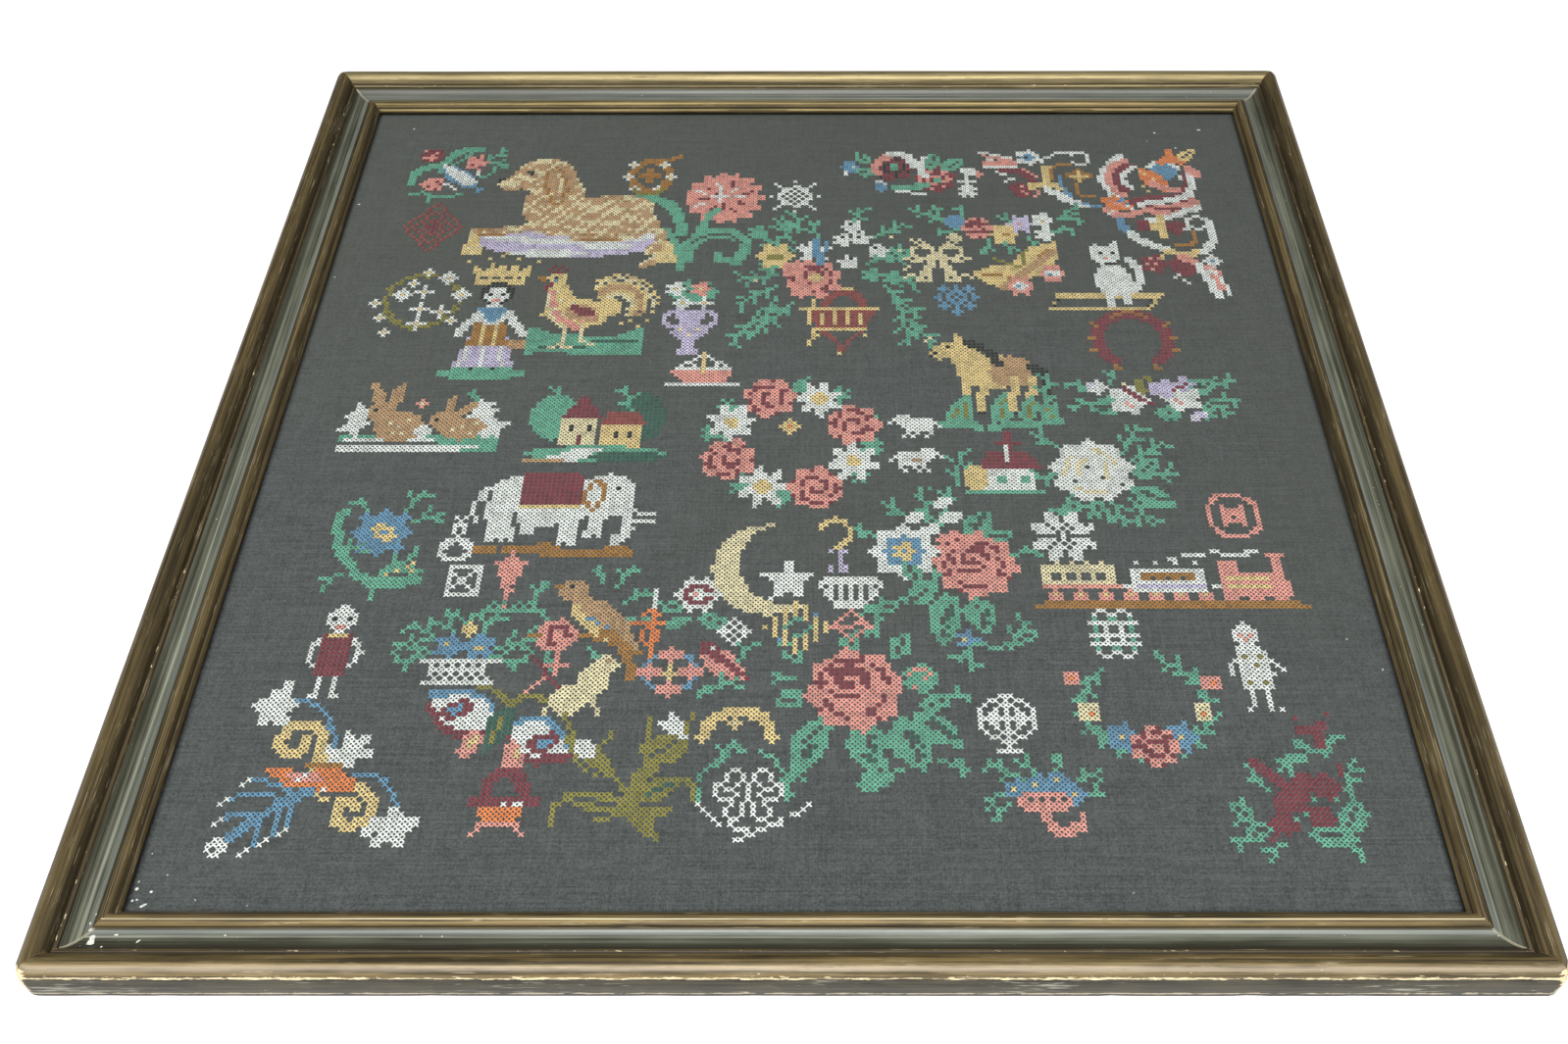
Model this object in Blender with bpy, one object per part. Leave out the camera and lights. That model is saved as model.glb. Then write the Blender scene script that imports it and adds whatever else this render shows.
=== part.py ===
"""Framed cross stitch sampler: an embroidered cloth under glass in a square mitred moulding.

The frame lies face up on its back. Metres, +Z up, the top of the picture towards +Y,
the origin under the middle of the picture on the surface that the back rests on.
"""
from math import asin, cos, degrees, pi, radians, sin, sqrt

import bmesh
import bpy

# The picture and the moulding around it
SIGHT_SIDE = 0.5842
MOULDING_WIDTH = 0.034
MOULDING_DEPTH = 0.022
REBATE_WIDTH = 0.006
SIGHT_HEIGHT = 0.0100
LIP_THICKNESS = 0.0014

# What the rebate holds
GLASS_THICKNESS = 0.0020
CLOTH_THICKNESS = 0.0010
BOARD_THICKNESS = 0.0030
STITCH_SPACE = 0.0014

# The clearance that every pair of pieces keeps, and the mitre's share of it along a rail
PIECE_GAP = 0.0003
MITRE_GAP = PIECE_GAP / sqrt(2)

# Shapes across the moulding, outward from the sight edge and up from the back
QUIRK_FOOT = (0.0008, 0.0112)
QUIRK_LEDGE = (0.0017, 0.0113)
INNER_BEAD_CENTRE = (0.0046, 0.0126)
INNER_BEAD_RISE = (0.0023, 0.0020)
INNER_BEAD_FALL = (0.0035, 0.0020)
COVE_START = 0.0086
COVE_LOW = (0.0124, 0.0111)
COVE_RADIUS = 0.00785
COVE_END = 0.0190
FILLET_FOOT = (0.0192, 0.0158)
FILLET_RIDGE = (0.0206, 0.0166)
BEAD_GROOVE = (0.0214, 0.0161)
BEAD_CENTRE = (0.0278, 0.0166)
BEAD_INNER_RADIUS = 0.0060
BEAD_ARRIS = (0.0330, 0.0168)
SIDE_SHOULDER = 0.0115
BACK_ROUNDING = 0.0015

# Heights of the layers, worked out from the underside of the lip downwards
LIP_UNDERSIDE = SIGHT_HEIGHT - LIP_THICKNESS
GLASS_TOP = LIP_UNDERSIDE - PIECE_GAP
CLOTH_TOP = GLASS_TOP - GLASS_THICKNESS - STITCH_SPACE
BOARD_TOP = CLOTH_TOP - CLOTH_THICKNESS - PIECE_GAP

# The pane and the board fill the rebate, and the cloth ends a little inside it
INSERT_SIDE = SIGHT_SIDE + 2 * (REBATE_WIDTH - PIECE_GAP)
CLOTH_SIDE = INSERT_SIDE - 2 * PIECE_GAP


def clear_scene():
    """Remove whatever the file holds."""
    for obj in list(bpy.data.objects):
        bpy.data.objects.remove(obj, do_unlink=True)


def material(name, colour, roughness, metallic=0.0, alpha=1.0):
    """A plain finish with one colour."""
    finish = bpy.data.materials.new(name)
    finish.use_nodes = True
    shader = finish.node_tree.nodes["Principled BSDF"]
    shader.inputs["Base Color"].default_value = (*colour, 1.0)
    shader.inputs["Roughness"].default_value = roughness
    shader.inputs["Metallic"].default_value = metallic
    shader.inputs["Alpha"].default_value = alpha
    finish.diffuse_color = (*colour, alpha)
    return finish


def add_object(name, mesh):
    """Put a mesh into the scene as one named piece."""
    obj = bpy.data.objects.new(name, mesh)
    bpy.context.scene.collection.objects.link(obj)
    return obj


def arc(centre, radii, start, end, steps):
    """Points along an elliptical arc, with its angles in degrees."""
    points = []
    for step in range(steps + 1):
        angle = radians(start + (end - start) * step / steps)
        points.append((centre[0] + radii[0] * cos(angle), centre[1] + radii[1] * sin(angle)))
    return points


def cove():
    """The hollow of the panel, an arc that hangs from its low point."""
    centre = (COVE_LOW[0], COVE_LOW[1] + COVE_RADIUS)
    start = -90 - degrees(asin((COVE_LOW[0] - COVE_START) / COVE_RADIUS))
    end = -90 + degrees(asin((COVE_END - COVE_LOW[0]) / COVE_RADIUS))
    return arc(centre, (COVE_RADIUS, COVE_RADIUS), start, end, 8)


def moulding_profile():
    """The outline across the moulding: distance outward from the sight edge, height above the back."""
    sight_lip = [(0.0, LIP_UNDERSIDE), (0.0, SIGHT_HEIGHT), QUIRK_FOOT, QUIRK_LEDGE]
    inner_bead = (arc(INNER_BEAD_CENTRE, INNER_BEAD_RISE, 165, 90, 6)
                  + arc(INNER_BEAD_CENTRE, INNER_BEAD_FALL, 72, 0, 4))
    fillet = [FILLET_FOOT, FILLET_RIDGE, BEAD_GROOVE]
    crest = MOULDING_DEPTH - BEAD_CENTRE[1]
    bead = (arc(BEAD_CENTRE, (BEAD_INNER_RADIUS, crest), 178, 90, 9)
            + arc(BEAD_CENTRE, (BEAD_ARRIS[0] - BEAD_CENTRE[0], crest), 78, 6, 6))
    heel_centre = (MOULDING_WIDTH - BACK_ROUNDING, BACK_ROUNDING)
    heel = arc(heel_centre, (BACK_ROUNDING, BACK_ROUNDING), 0, -90, 3)
    outer_side = [BEAD_ARRIS, (MOULDING_WIDTH, SIDE_SHOULDER)] + heel
    rebate = [(REBATE_WIDTH, 0.0), (REBATE_WIDTH, LIP_UNDERSIDE)]
    return sight_lip + inner_bead + cove() + fillet + bead + outer_side + rebate


def rail_mesh():
    """The bottom length of the moulding: its profile stands on one mitre and is drawn to the other."""
    half_side = SIGHT_SIDE / 2
    work = bmesh.new()
    corners = []
    for outward, height in moulding_profile():
        mitre = MITRE_GAP - half_side - outward
        corners.append(work.verts.new((mitre, -half_side - outward, height)))
    end_face = work.faces.new(corners)
    drawn = bmesh.ops.extrude_face_region(work, geom=[end_face])
    far_corners = [item for item in drawn["geom"] if isinstance(item, bmesh.types.BMVert)]
    bmesh.ops.scale(work, vec=(-1.0, 1.0, 1.0), verts=far_corners)
    bmesh.ops.recalc_face_normals(work, faces=work.faces)
    mesh = bpy.data.meshes.new("rail")
    work.to_mesh(mesh)
    work.free()
    return mesh


def add_rails():
    """Four equal lengths of moulding, each a quarter turn on from the last."""
    mesh = rail_mesh()
    mesh.materials.append(material("gilt_moulding", (0.20, 0.15, 0.07), 0.42, 0.35))
    mesh.shade_smooth()
    mesh.set_sharp_from_angle(angle=radians(32))
    for quarter, side in enumerate(("bottom", "right", "top", "left")):
        rail = add_object("rail_" + side, mesh)
        rail.rotation_euler.z = quarter * pi / 2


def add_layer(name, side, top, thickness, finish):
    """One flat square layer of the picture, set by the height of its upper face."""
    work = bmesh.new()
    bmesh.ops.create_cube(work, size=1.0)
    bmesh.ops.scale(work, vec=(side, side, thickness), verts=work.verts)
    mesh = bpy.data.meshes.new(name)
    work.to_mesh(mesh)
    work.free()
    mesh.materials.append(finish)
    layer = add_object(name, mesh)
    layer.location.z = top - thickness / 2


def build():
    """Lay the picture's layers into the moulding."""
    clear_scene()
    add_rails()
    add_layer("glass", INSERT_SIDE, GLASS_TOP, GLASS_THICKNESS,
              material("picture_glass", (0.90, 0.95, 0.93), 0.05, alpha=0.3))
    add_layer("cloth", CLOTH_SIDE, CLOTH_TOP, CLOTH_THICKNESS,
              material("slate_cloth", (0.080, 0.092, 0.092), 0.9))
    add_layer("backing_board", INSERT_SIDE, BOARD_TOP, BOARD_THICKNESS,
              material("brown_hardboard", (0.19, 0.11, 0.06), 0.8))


build()
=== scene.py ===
"""Looks of the framed cross stitch sampler: the gilt and painted moulding, glass, cloth and stitches.

Metres, +Z up, the top of the picture towards +Y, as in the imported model.
"""
from math import asin, atan2, copysign, cos, degrees, floor, hypot, pi, radians, sin, sqrt
from random import Random

import bmesh
import bpy
from mathutils import Matrix, Vector, noise


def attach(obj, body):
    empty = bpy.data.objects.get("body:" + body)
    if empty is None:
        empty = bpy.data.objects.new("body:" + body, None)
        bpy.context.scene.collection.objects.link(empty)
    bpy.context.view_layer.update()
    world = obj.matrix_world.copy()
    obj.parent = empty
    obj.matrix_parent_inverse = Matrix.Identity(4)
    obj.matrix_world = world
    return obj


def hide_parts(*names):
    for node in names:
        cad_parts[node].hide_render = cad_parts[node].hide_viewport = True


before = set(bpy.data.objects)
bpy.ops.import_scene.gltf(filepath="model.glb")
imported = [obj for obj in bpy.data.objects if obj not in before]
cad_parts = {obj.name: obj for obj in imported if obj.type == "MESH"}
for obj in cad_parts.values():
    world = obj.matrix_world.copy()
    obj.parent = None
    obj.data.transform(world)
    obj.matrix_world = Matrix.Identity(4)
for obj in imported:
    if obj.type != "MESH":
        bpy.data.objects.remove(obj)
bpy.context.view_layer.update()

# The moulding, as in the solids: widths outward from the sight edge, heights above the back
SIGHT_SIDE = 0.5842
MOULDING_WIDTH = 0.034
MOULDING_DEPTH = 0.022
REBATE_WIDTH = 0.006
SIGHT_HEIGHT = 0.0100
LIP_UNDERSIDE = 0.0086
MITRE_GAP = 0.0003 / sqrt(2)
QUIRK_FOOT = (0.0008, 0.0112)
QUIRK_LEDGE = (0.0017, 0.0113)
INNER_BEAD_CENTRE = (0.0046, 0.0126)
INNER_BEAD_RISE = (0.0023, 0.0020)
INNER_BEAD_FALL = (0.0035, 0.0020)
COVE_START = 0.0086
COVE_LOW = (0.0124, 0.0111)
COVE_RADIUS = 0.00785
COVE_END = 0.0190
COVE_INNER_EDGE = (0.0088, 0.0126)
COVE_OUTER_EDGE = (0.0186, 0.0160)
FILLET_FOOT = (0.0192, 0.0158)
FILLET_RIDGE = (0.0206, 0.0166)
BEAD_GROOVE = (0.0214, 0.0161)
BEAD_CENTRE = (0.0278, 0.0166)
BEAD_INNER_RADIUS = 0.0060
BEAD_ARRIS = (0.0330, 0.0168)
SIDE_SHOULDER = 0.0115
BACK_ROUNDING = 0.0015
CORNER_RADIUS = 0.0058
RAIL_CUTS = 150
# How far apart two rails lie in the "along" attribute
RAIL_STEP = 1.7

# The cloth and its stitches
CLOTH_SIDE = 0.5950
CLOTH_TOP = 0.0049
CLOTH_THICKNESS = 0.0010
STITCH_PITCH = 0.00256
PICTURE_RISE = 0.0048
STITCHES_ACROSS = 230
THREAD_PITCH = 0.00064

# Yarn colours, linear
YARNS = {"white": (0.93, 0.915, 0.89), "ivory": (0.84, 0.72, 0.46), "straw": (0.82, 0.61, 0.27),
         "coral": (0.84, 0.34, 0.29), "burgundy": (0.22, 0.022, 0.042), "brick": (0.30, 0.05, 0.045),
         "jade": (0.13, 0.43, 0.30), "forest": (0.025, 0.11, 0.08), "olive": (0.27, 0.235, 0.035),
         "blue": (0.13, 0.31, 0.50), "lavender": (0.64, 0.55, 0.78), "tan": (0.56, 0.33, 0.165),
         "amber": (0.42, 0.18, 0.024), "orange": (0.88, 0.235, 0.06), "black": (0.012, 0.011, 0.011)}


class Flow:
    """A value in a material. Sums on it add Math nodes."""

    def __init__(self, finish, socket):
        self.finish = finish
        self.socket = socket

    def math(self, operation, first, second=0.0):
        return self.finish.node("Math", {"operation": operation}, {0: first, 1: second})

    def __add__(self, other):
        return self.math("ADD", self, other)

    def __radd__(self, other):
        return self.math("ADD", other, self)

    def __sub__(self, other):
        return self.math("SUBTRACT", self, other)

    def __rsub__(self, other):
        return self.math("SUBTRACT", other, self)

    def __mul__(self, other):
        return self.math("MULTIPLY", self, other)

    def __rmul__(self, other):
        return self.math("MULTIPLY", other, self)

    def __truediv__(self, other):
        return self.math("DIVIDE", self, other)

    def __pow__(self, other):
        return self.math("POWER", self, other)

    def __gt__(self, other):
        return self.math("GREATER_THAN", self, other)

    def wave(self):
        return self.math("SINE", self)

    def size(self):
        return self.math("ABSOLUTE", self)

    def not_below(self, floor_value):
        return self.math("MAXIMUM", self, floor_value)


class Finish:
    """One procedural material, made node by node."""

    def __init__(self, name, **constants):
        self.material = bpy.data.materials.new(name)
        self.material.use_nodes = True
        self.tree = self.material.node_tree
        self.shader = self.tree.nodes["Principled BSDF"]
        for socket, value in constants.items():
            self.shader.inputs[socket.replace("_", " ")].default_value = value

    def node(self, kind, settings=None, inputs=None, output=0):
        node = self.tree.nodes.new("ShaderNode" + kind)
        for setting, value in (settings or {}).items():
            if setting == "stops":
                self.set_stops(node.color_ramp.elements, value)
            else:
                setattr(node, setting, value)
        for socket, value in (inputs or {}).items():
            self.feed(node.inputs[socket], value)
        return Flow(self, node.outputs[output])

    def feed(self, socket, value):
        if isinstance(value, Flow):
            self.tree.links.new(value.socket, socket)
        elif isinstance(value, tuple) and len(value) == 3 and socket.type == "RGBA":
            socket.default_value = (*value, 1.0)
        else:
            socket.default_value = value

    def set_stops(self, elements, stops):
        for place, (position, level) in enumerate(stops):
            element = elements[place] if place < 2 else elements.new(position)
            element.position = position
            element.color = (level, level, level, 1.0)

    def ramp(self, value, *stops):
        """A value led through grey stops, each a position and a level."""
        return self.node("ValToRGB", {"stops": stops}, {0: value})

    def mix(self, factor, first, second):
        return self.node("Mix", {"data_type": "RGBA"}, {0: factor, 6: first, 7: second}, 2)

    def place(self, stretch=(1, 1, 1)):
        """Object coordinates, stretched."""
        coordinates = self.node("TexCoord", output="Object")
        return self.node("VectorMath", {"operation": "MULTIPLY"}, {0: coordinates, 1: stretch})

    def attribute(self, name):
        return self.node("Attribute", {"attribute_name": name}, output="Fac")

    def noise(self, place, scale, detail=3, roughness=0.55):
        return self.node("TexNoise", None, {"Vector": place, "Scale": scale, "Detail": detail,
                                            "Roughness": roughness})

    def band(self, value, middle, reach):
        """1 where value is at middle, falling to 0 at reach on both sides."""
        return (1 - (value - middle).size() / reach).not_below(0.0)

    def bump(self, height, distance, strength=1.0):
        return self.node("Bump", None, {"Height": height, "Distance": distance, "Strength": strength})

    def surface(self, **values):
        for socket, value in values.items():
            self.feed(self.shader.inputs[socket.replace("_", " ")], value)
        return self.material


def add_piece(name, work, *finishes, smooth=None):
    """Turn a bmesh into a named object with its finishes, smooth shaded if asked."""
    mesh = bpy.data.meshes.new(name)
    work.to_mesh(mesh)
    work.free()
    for finish in finishes:
        mesh.materials.append(finish)
    if smooth is not None:
        mesh.shade_smooth()
        mesh.set_sharp_from_angle(angle=radians(smooth))
    piece = bpy.data.objects.new(name, mesh)
    bpy.context.scene.collection.objects.link(piece)
    return piece


def turn_about(work, corners, angle, axis="Z"):
    """Turn corners of a bmesh about the origin."""
    bmesh.ops.rotate(work, cent=(0, 0, 0), matrix=Matrix.Rotation(angle, 3, axis), verts=corners)


# Finishes of the moulding

def along_the_rail(finish, stretch, squeeze):
    """Coordinates that follow a rail: its length, and the way across its outline."""
    length = finish.attribute("along")
    width = finish.attribute("across")
    return finish.node("CombineXYZ", None, {0: length * stretch, 1: width * squeeze})


def rail_masks(finish):
    """1 on the bottom rail, and 1 on the top rail."""
    along = finish.attribute("along")
    on_bottom = 1 - (along > 0.6 * RAIL_STEP)
    on_top = (along > 1.5 * RAIL_STEP) * (1 - (along > 2.5 * RAIL_STEP))
    return on_bottom, on_top


def bead_gilt():
    """Dull bronze gilding on the beads and the fillet.

    Streaked lengthwise, with painted shade in the grooves and on the big bead's inner face, rubbed
    pale on the crest with a painted highlight over it, a painted highlight line along the inner
    bead, the top rail painted paler and the side rails darker, and worn
    through to the cream ground along the arris and at the outer corners.
    """
    finish = Finish("bronze_gilt", Specular_IOR_Level=0.5)
    across = finish.attribute("across")
    mitre = finish.attribute("mitre")
    streaks = finish.noise(along_the_rail(finish, 4.5, 460), 1.0, 6, 0.78)
    clouds = finish.noise(along_the_rail(finish, 24, 150), 1.0, 4, 0.6)
    nicks = finish.noise(along_the_rail(finish, 170, 700), 1.0, 4, 0.65)
    scratches = finish.noise(along_the_rail(finish, 34, 2400), 1.0, 3, 0.6)
    on_big_bead = across > way_across(COVE_OUTER_EDGE)
    on_bottom, on_top = rail_masks(finish)
    tone = finish.ramp(streaks * 0.8 + clouds * 0.2, (0.42, 0.0), (0.58, 1.0))
    colour = finish.mix(tone, (0.034, 0.025, 0.010), (0.205, 0.148, 0.058))
    # Painted highlight: the top rail's gilt is painted paler gold, most on the big bead, where the light
    # falls on it.
    colour = finish.mix(on_top * (on_big_bead * 0.7 + 0.3) * (0.35 + tone * 0.5), colour, (0.52, 0.43, 0.22))
    # Painted shade: the side rails' gilt is painted darker, as they face away from the light.
    colour = finish.mix((1 - on_bottom - on_top) * 0.35, colour, (0.030, 0.022, 0.010))
    # The crest band is rubbed pale and also carries a painted highlight, much stronger on the bottom rail,
    # where the light shines on it.
    crest = finish.band(across, way_across((0.0308, 0.0211)), 0.0030)
    rub_and_highlight = finish.ramp(crest * 0.4 + streaks * 0.7 + clouds * 0.3, (0.64, 0.0), (0.86, 1.0))
    colour = finish.mix(rub_and_highlight * (0.16 + on_bottom * 0.40), colour, (0.36, 0.30, 0.225))
    # Painted highlight: a bright gold line along the inner bead's outer shoulder, with a weaker one on the
    # fillet ridge.
    line = (finish.band(across, way_across((0.0057, 0.0145)), 0.0005)
            + finish.band(across, way_across(FILLET_RIDGE), 0.0004) * 0.3)
    painted_highlight_line = finish.ramp(line * 0.7 + streaks * 0.4, (0.52, 0.0), (0.78, 0.9))
    colour = finish.mix(painted_highlight_line * (0.25 + on_bottom * 0.65 + on_top * 0.4), colour, (0.88, 0.80, 0.56))
    # Painted shade: near black in the grooves, the quirks and on the big bead's inner face, broken up by the
    # streaks.
    groove_shade_mask = (finish.band(across, way_across(BEAD_GROOVE), 0.0024)
            + finish.band(across, way_across(FILLET_FOOT), 0.0009)
            + finish.band(across, way_across((COVE_START, 0.0126)), 0.0008)
            + finish.band(across, way_across(QUIRK_LEDGE), 0.0013)
            + finish.band(across, way_across((0.0229, 0.0198)), 0.0028) * 0.6)
    painted_groove_shade = finish.ramp(groove_shade_mask * 0.8 + (1 - streaks) * 0.35, (0.28, 0.0), (0.85, 1.0))
    colour = finish.mix(painted_groove_shade, colour, (0.022, 0.016, 0.008))
    arris = way_across(BEAD_ARRIS)
    worn = (finish.band(across, arris, 0.0017) * 0.90 + finish.band(across, arris, 0.0080) * 0.50
            + finish.band(mitre, 0.0, 0.0060) * 1.3 * (across > way_across((0.0316, 0.0206)))
            + finish.band(across, way_across(FILLET_RIDGE), 0.0012) * 0.50)
    clusters = finish.ramp(finish.noise(along_the_rail(finish, 11, 0), 1.0, 2, 0.6), (0.40, 0.0), (0.62, 1.0))
    chip = finish.ramp(worn * 0.30 * (0.74 + clusters * 0.48) + nicks, (0.760, 0.0), (0.775, 1.0))
    scored = finish.ramp(scratches + clouds * 0.3, (0.800, 0.0), (0.815, 0.8))
    colour = finish.mix(scored, finish.mix(chip, colour, (0.68, 0.56, 0.34)), (0.50, 0.42, 0.27))
    height = streaks * 0.8 - chip * 1.2 - scored * 0.5
    gloss = 0.44 - on_big_bead * 0.04
    metal = 0.45 - on_bottom * on_big_bead * 0.1 + on_top * 0.35 - chip * 0.8 - rub_and_highlight * 0.15 - painted_groove_shade * 0.3
    return finish.surface(Base_Color=colour, Metallic=metal.not_below(0.0),
                          Roughness=gloss + streaks * 0.14 + clouds * 0.06 + chip * 0.2,
                          Normal=finish.bump(height, 0.00030, 0.8))


def cove_paint():
    """Grey-green paint in the hollow, wiped lengthwise so that pale lines show; a painted reflection lies
    near the inner bead, painted shade towards the groove, and the top rail is painted paler.
    """
    finish = Finish("cove_paint", Specular_IOR_Level=0.42)
    across = finish.attribute("across")
    mitre = finish.attribute("mitre")
    on_bottom, on_top = rail_masks(finish)
    lines = finish.noise(along_the_rail(finish, 2.2, 540), 1.0, 6, 0.8)
    clouds = finish.noise(along_the_rail(finish, 22, 120), 1.0, 3, 0.5)
    tone = finish.ramp(lines * 0.75 + clouds * 0.25, (0.42, 0.0), (0.58, 1.0))
    colour = finish.mix(tone, (0.032, 0.034, 0.022), (0.145, 0.155, 0.112))
    colour = finish.mix(finish.ramp(lines, (0.55, 0.0), (0.64, 0.7)), colour, (0.31, 0.32, 0.27))
    # Painted reflection: a pale blue-grey band of the light on the cove's inner part, and the whole cove
    # painted paler on the top rail.
    painted_reflection = finish.band(across, way_across((0.0098, 0.0117)), 0.0030)
    colour = finish.mix(painted_reflection * 0.45 + on_top * 0.35, colour, (0.220, 0.250, 0.245))
    # Painted shade: the cove darkens towards its outer edge, most on the bottom rail, and at its inner edge.
    cove_shade_mask = (finish.band(across, way_across(COVE_OUTER_EDGE), 0.0112)
             * (0.52 + on_bottom * 0.48 + on_top * 0.15)
             + finish.band(across, way_across(COVE_INNER_EDGE), 0.0012))
    painted_cove_shade = finish.ramp(cove_shade_mask * 0.75 + (1 - lines) * 0.25, (0.20, 0.0), (0.66, 0.95))
    colour = finish.mix(painted_cove_shade, colour, (0.026, 0.022, 0.013))
    specks = finish.ramp(finish.noise(finish.place(), 700, 2, 0.5), (0.765, 0.0), (0.780, 1.0))
    joint = finish.ramp(finish.band(mitre, 0.0, 0.0010) + clouds * 0.5, (0.50, 0.0), (0.85, 0.9))
    colour = finish.mix(specks, finish.mix(joint, colour, (0.34, 0.33, 0.26)), (0.72, 0.70, 0.60))
    return finish.surface(Base_Color=colour, Roughness=0.31 + clouds * 0.10 + lines * 0.12, Metallic=0.1,
                          Normal=finish.bump(lines * 0.8 + specks, 0.0003, 0.7))


def side_gilt():
    """Dark olive gilding on the outer wall, scuffed, with cream chips along both edges and at the corners."""
    finish = Finish("side_gilt", Specular_IOR_Level=0.28)
    across = finish.attribute("across")
    mitre = finish.attribute("mitre")
    streaks = finish.noise(along_the_rail(finish, 12, 700), 1.0, 6, 0.75)
    clouds = finish.noise(along_the_rail(finish, 40, 130), 1.0, 3, 0.6)
    nicks = finish.noise(along_the_rail(finish, 120, 520), 1.0, 4, 0.65)
    colour = finish.mix(finish.ramp(streaks * 0.7 + clouds * 0.3, (0.42, 0.0), (0.58, 1.0)),
                        (0.012, 0.010, 0.006), (0.060, 0.052, 0.031))
    scuff = finish.noise(along_the_rail(finish, 60, 900), 1.0, 3, 0.6)
    rubs = finish.noise(along_the_rail(finish, 14, 60), 1.0, 2, 0.5)
    scuffed = finish.ramp(scuff * 0.7 + rubs * 0.5, (0.70, 0.0), (0.76, 0.8))
    colour = finish.mix(scuffed, colour, (0.36, 0.35, 0.28))
    foot = way_across((0.0340, 0.0015)) - 0.0022
    worn = (finish.band(across, way_across(BEAD_ARRIS), 0.0012) + finish.band(across, foot, 0.0011) * 0.95
            + finish.band(across, foot, 0.0060) * 0.30 + finish.band(mitre, 0.0, 0.0060) * 1.9)
    clusters = finish.ramp(finish.noise(along_the_rail(finish, 11, 0), 1.0, 2, 0.6), (0.40, 0.0), (0.62, 1.0))
    chip = finish.ramp(worn * 0.30 * (0.80 + clusters * 0.40) + nicks, (0.735, 0.0), (0.750, 1.0))
    cream = finish.mix(across > foot - 0.0040, (0.70, 0.58, 0.36), (0.42, 0.37, 0.27))
    colour = finish.mix(chip, colour, cream)
    # Painted shadow: the rounded heel below the foot line is painted near black.
    colour = finish.mix(across > foot + 0.0008, colour, (0.012, 0.010, 0.007))
    return finish.surface(Base_Color=colour, Roughness=0.45 + clouds * 0.1 + chip * 0.3,
                          Metallic=(0.2 - chip * 0.2).not_below(0.0),
                          Normal=finish.bump(streaks * 0.5 - chip, 0.0003, 0.6))


def bare_wood():
    """Unfinished pine at the back, in the rebate and on the cut mitres."""
    finish = Finish("bare_pine", Specular_IOR_Level=0.25)
    grain = finish.noise(along_the_rail(finish, 12, 900), 1.0, 5, 0.6)
    stain = finish.noise(finish.place(), 24, 3, 0.5)
    colour = finish.mix(finish.ramp(grain, (0.35, 0.0), (0.68, 1.0)),
                        (0.20, 0.115, 0.05), (0.44, 0.29, 0.15))
    colour = finish.mix(finish.ramp(stain, (0.45, 0.0), (0.75, 0.6)), colour, (0.13, 0.08, 0.045))
    return finish.surface(Base_Color=colour, Roughness=0.75 + grain * 0.15,
                          Normal=finish.bump(grain, 0.0002, 0.5))


# The moulding

def arc(centre, radii, start, end, steps):
    """Points along an elliptical arc, from one angle to another in degrees."""
    points = []
    for step in range(steps + 1):
        angle = radians(start + (end - start) * step / steps)
        points.append((centre[0] + radii[0] * cos(angle), centre[1] + radii[1] * sin(angle)))
    return points


def moulding_outline():
    """The outline across the moulding, from under the lip over the face to the rebate."""
    inner_bead = (arc(INNER_BEAD_CENTRE, INNER_BEAD_RISE, 165, 90, 7)
                  + arc(INNER_BEAD_CENTRE, INNER_BEAD_FALL, 78, 0, 6))
    start = -90 - degrees(asin((COVE_LOW[0] - COVE_START) / COVE_RADIUS))
    end = -90 + degrees(asin((COVE_END - COVE_LOW[0]) / COVE_RADIUS))
    cove = arc((COVE_LOW[0], COVE_LOW[1] + COVE_RADIUS), (COVE_RADIUS, COVE_RADIUS), start, end, 12)
    crest = MOULDING_DEPTH - BEAD_CENTRE[1]
    bead = (arc(BEAD_CENTRE, (BEAD_INNER_RADIUS, crest), 178, 90, 11)
            + arc(BEAD_CENTRE, (BEAD_ARRIS[0] - BEAD_CENTRE[0], crest), 82, 6, 9))
    heel = arc((MOULDING_WIDTH - BACK_ROUNDING, BACK_ROUNDING), (BACK_ROUNDING, BACK_ROUNDING), 0, -90, 4)
    side = [BEAD_ARRIS, (0.03335, 0.0152), (MOULDING_WIDTH, SIDE_SHOULDER), (MOULDING_WIDTH, 0.0065)]
    return ([(0.0, LIP_UNDERSIDE), (0.0, SIGHT_HEIGHT), QUIRK_FOOT, QUIRK_LEDGE] + inner_bead + cove
            + [FILLET_FOOT, FILLET_RIDGE, BEAD_GROOVE] + bead + side + heel
            + [(REBATE_WIDTH, 0.0), (REBATE_WIDTH, LIP_UNDERSIDE)])


def way_across(place):
    """How far along the outline a place on it lies, from under the lip."""
    outline = moulding_outline()
    travelled = [0.0]
    for before, after in zip(outline, outline[1:]):
        travelled.append(travelled[-1] + hypot(after[0] - before[0], after[1] - before[1]))
    nearest = min(range(len(outline)),
                  key=lambda step: hypot(outline[step][0] - place[0], outline[step][1] - place[1]))
    return travelled[nearest]


GILT, COVE, SIDE, BARE = range(4)


def part_of_the_moulding(outward, height):
    """Which finish a place on the outline has."""
    if height < 0.0002 or (outward < REBATE_WIDTH + 0.0001 and height < LIP_UNDERSIDE + 0.0001):
        return BARE
    if outward > BEAD_ARRIS[0] and height < BEAD_ARRIS[1]:
        return SIDE
    return COVE if COVE_START < outward < COVE_END else GILT


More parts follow.
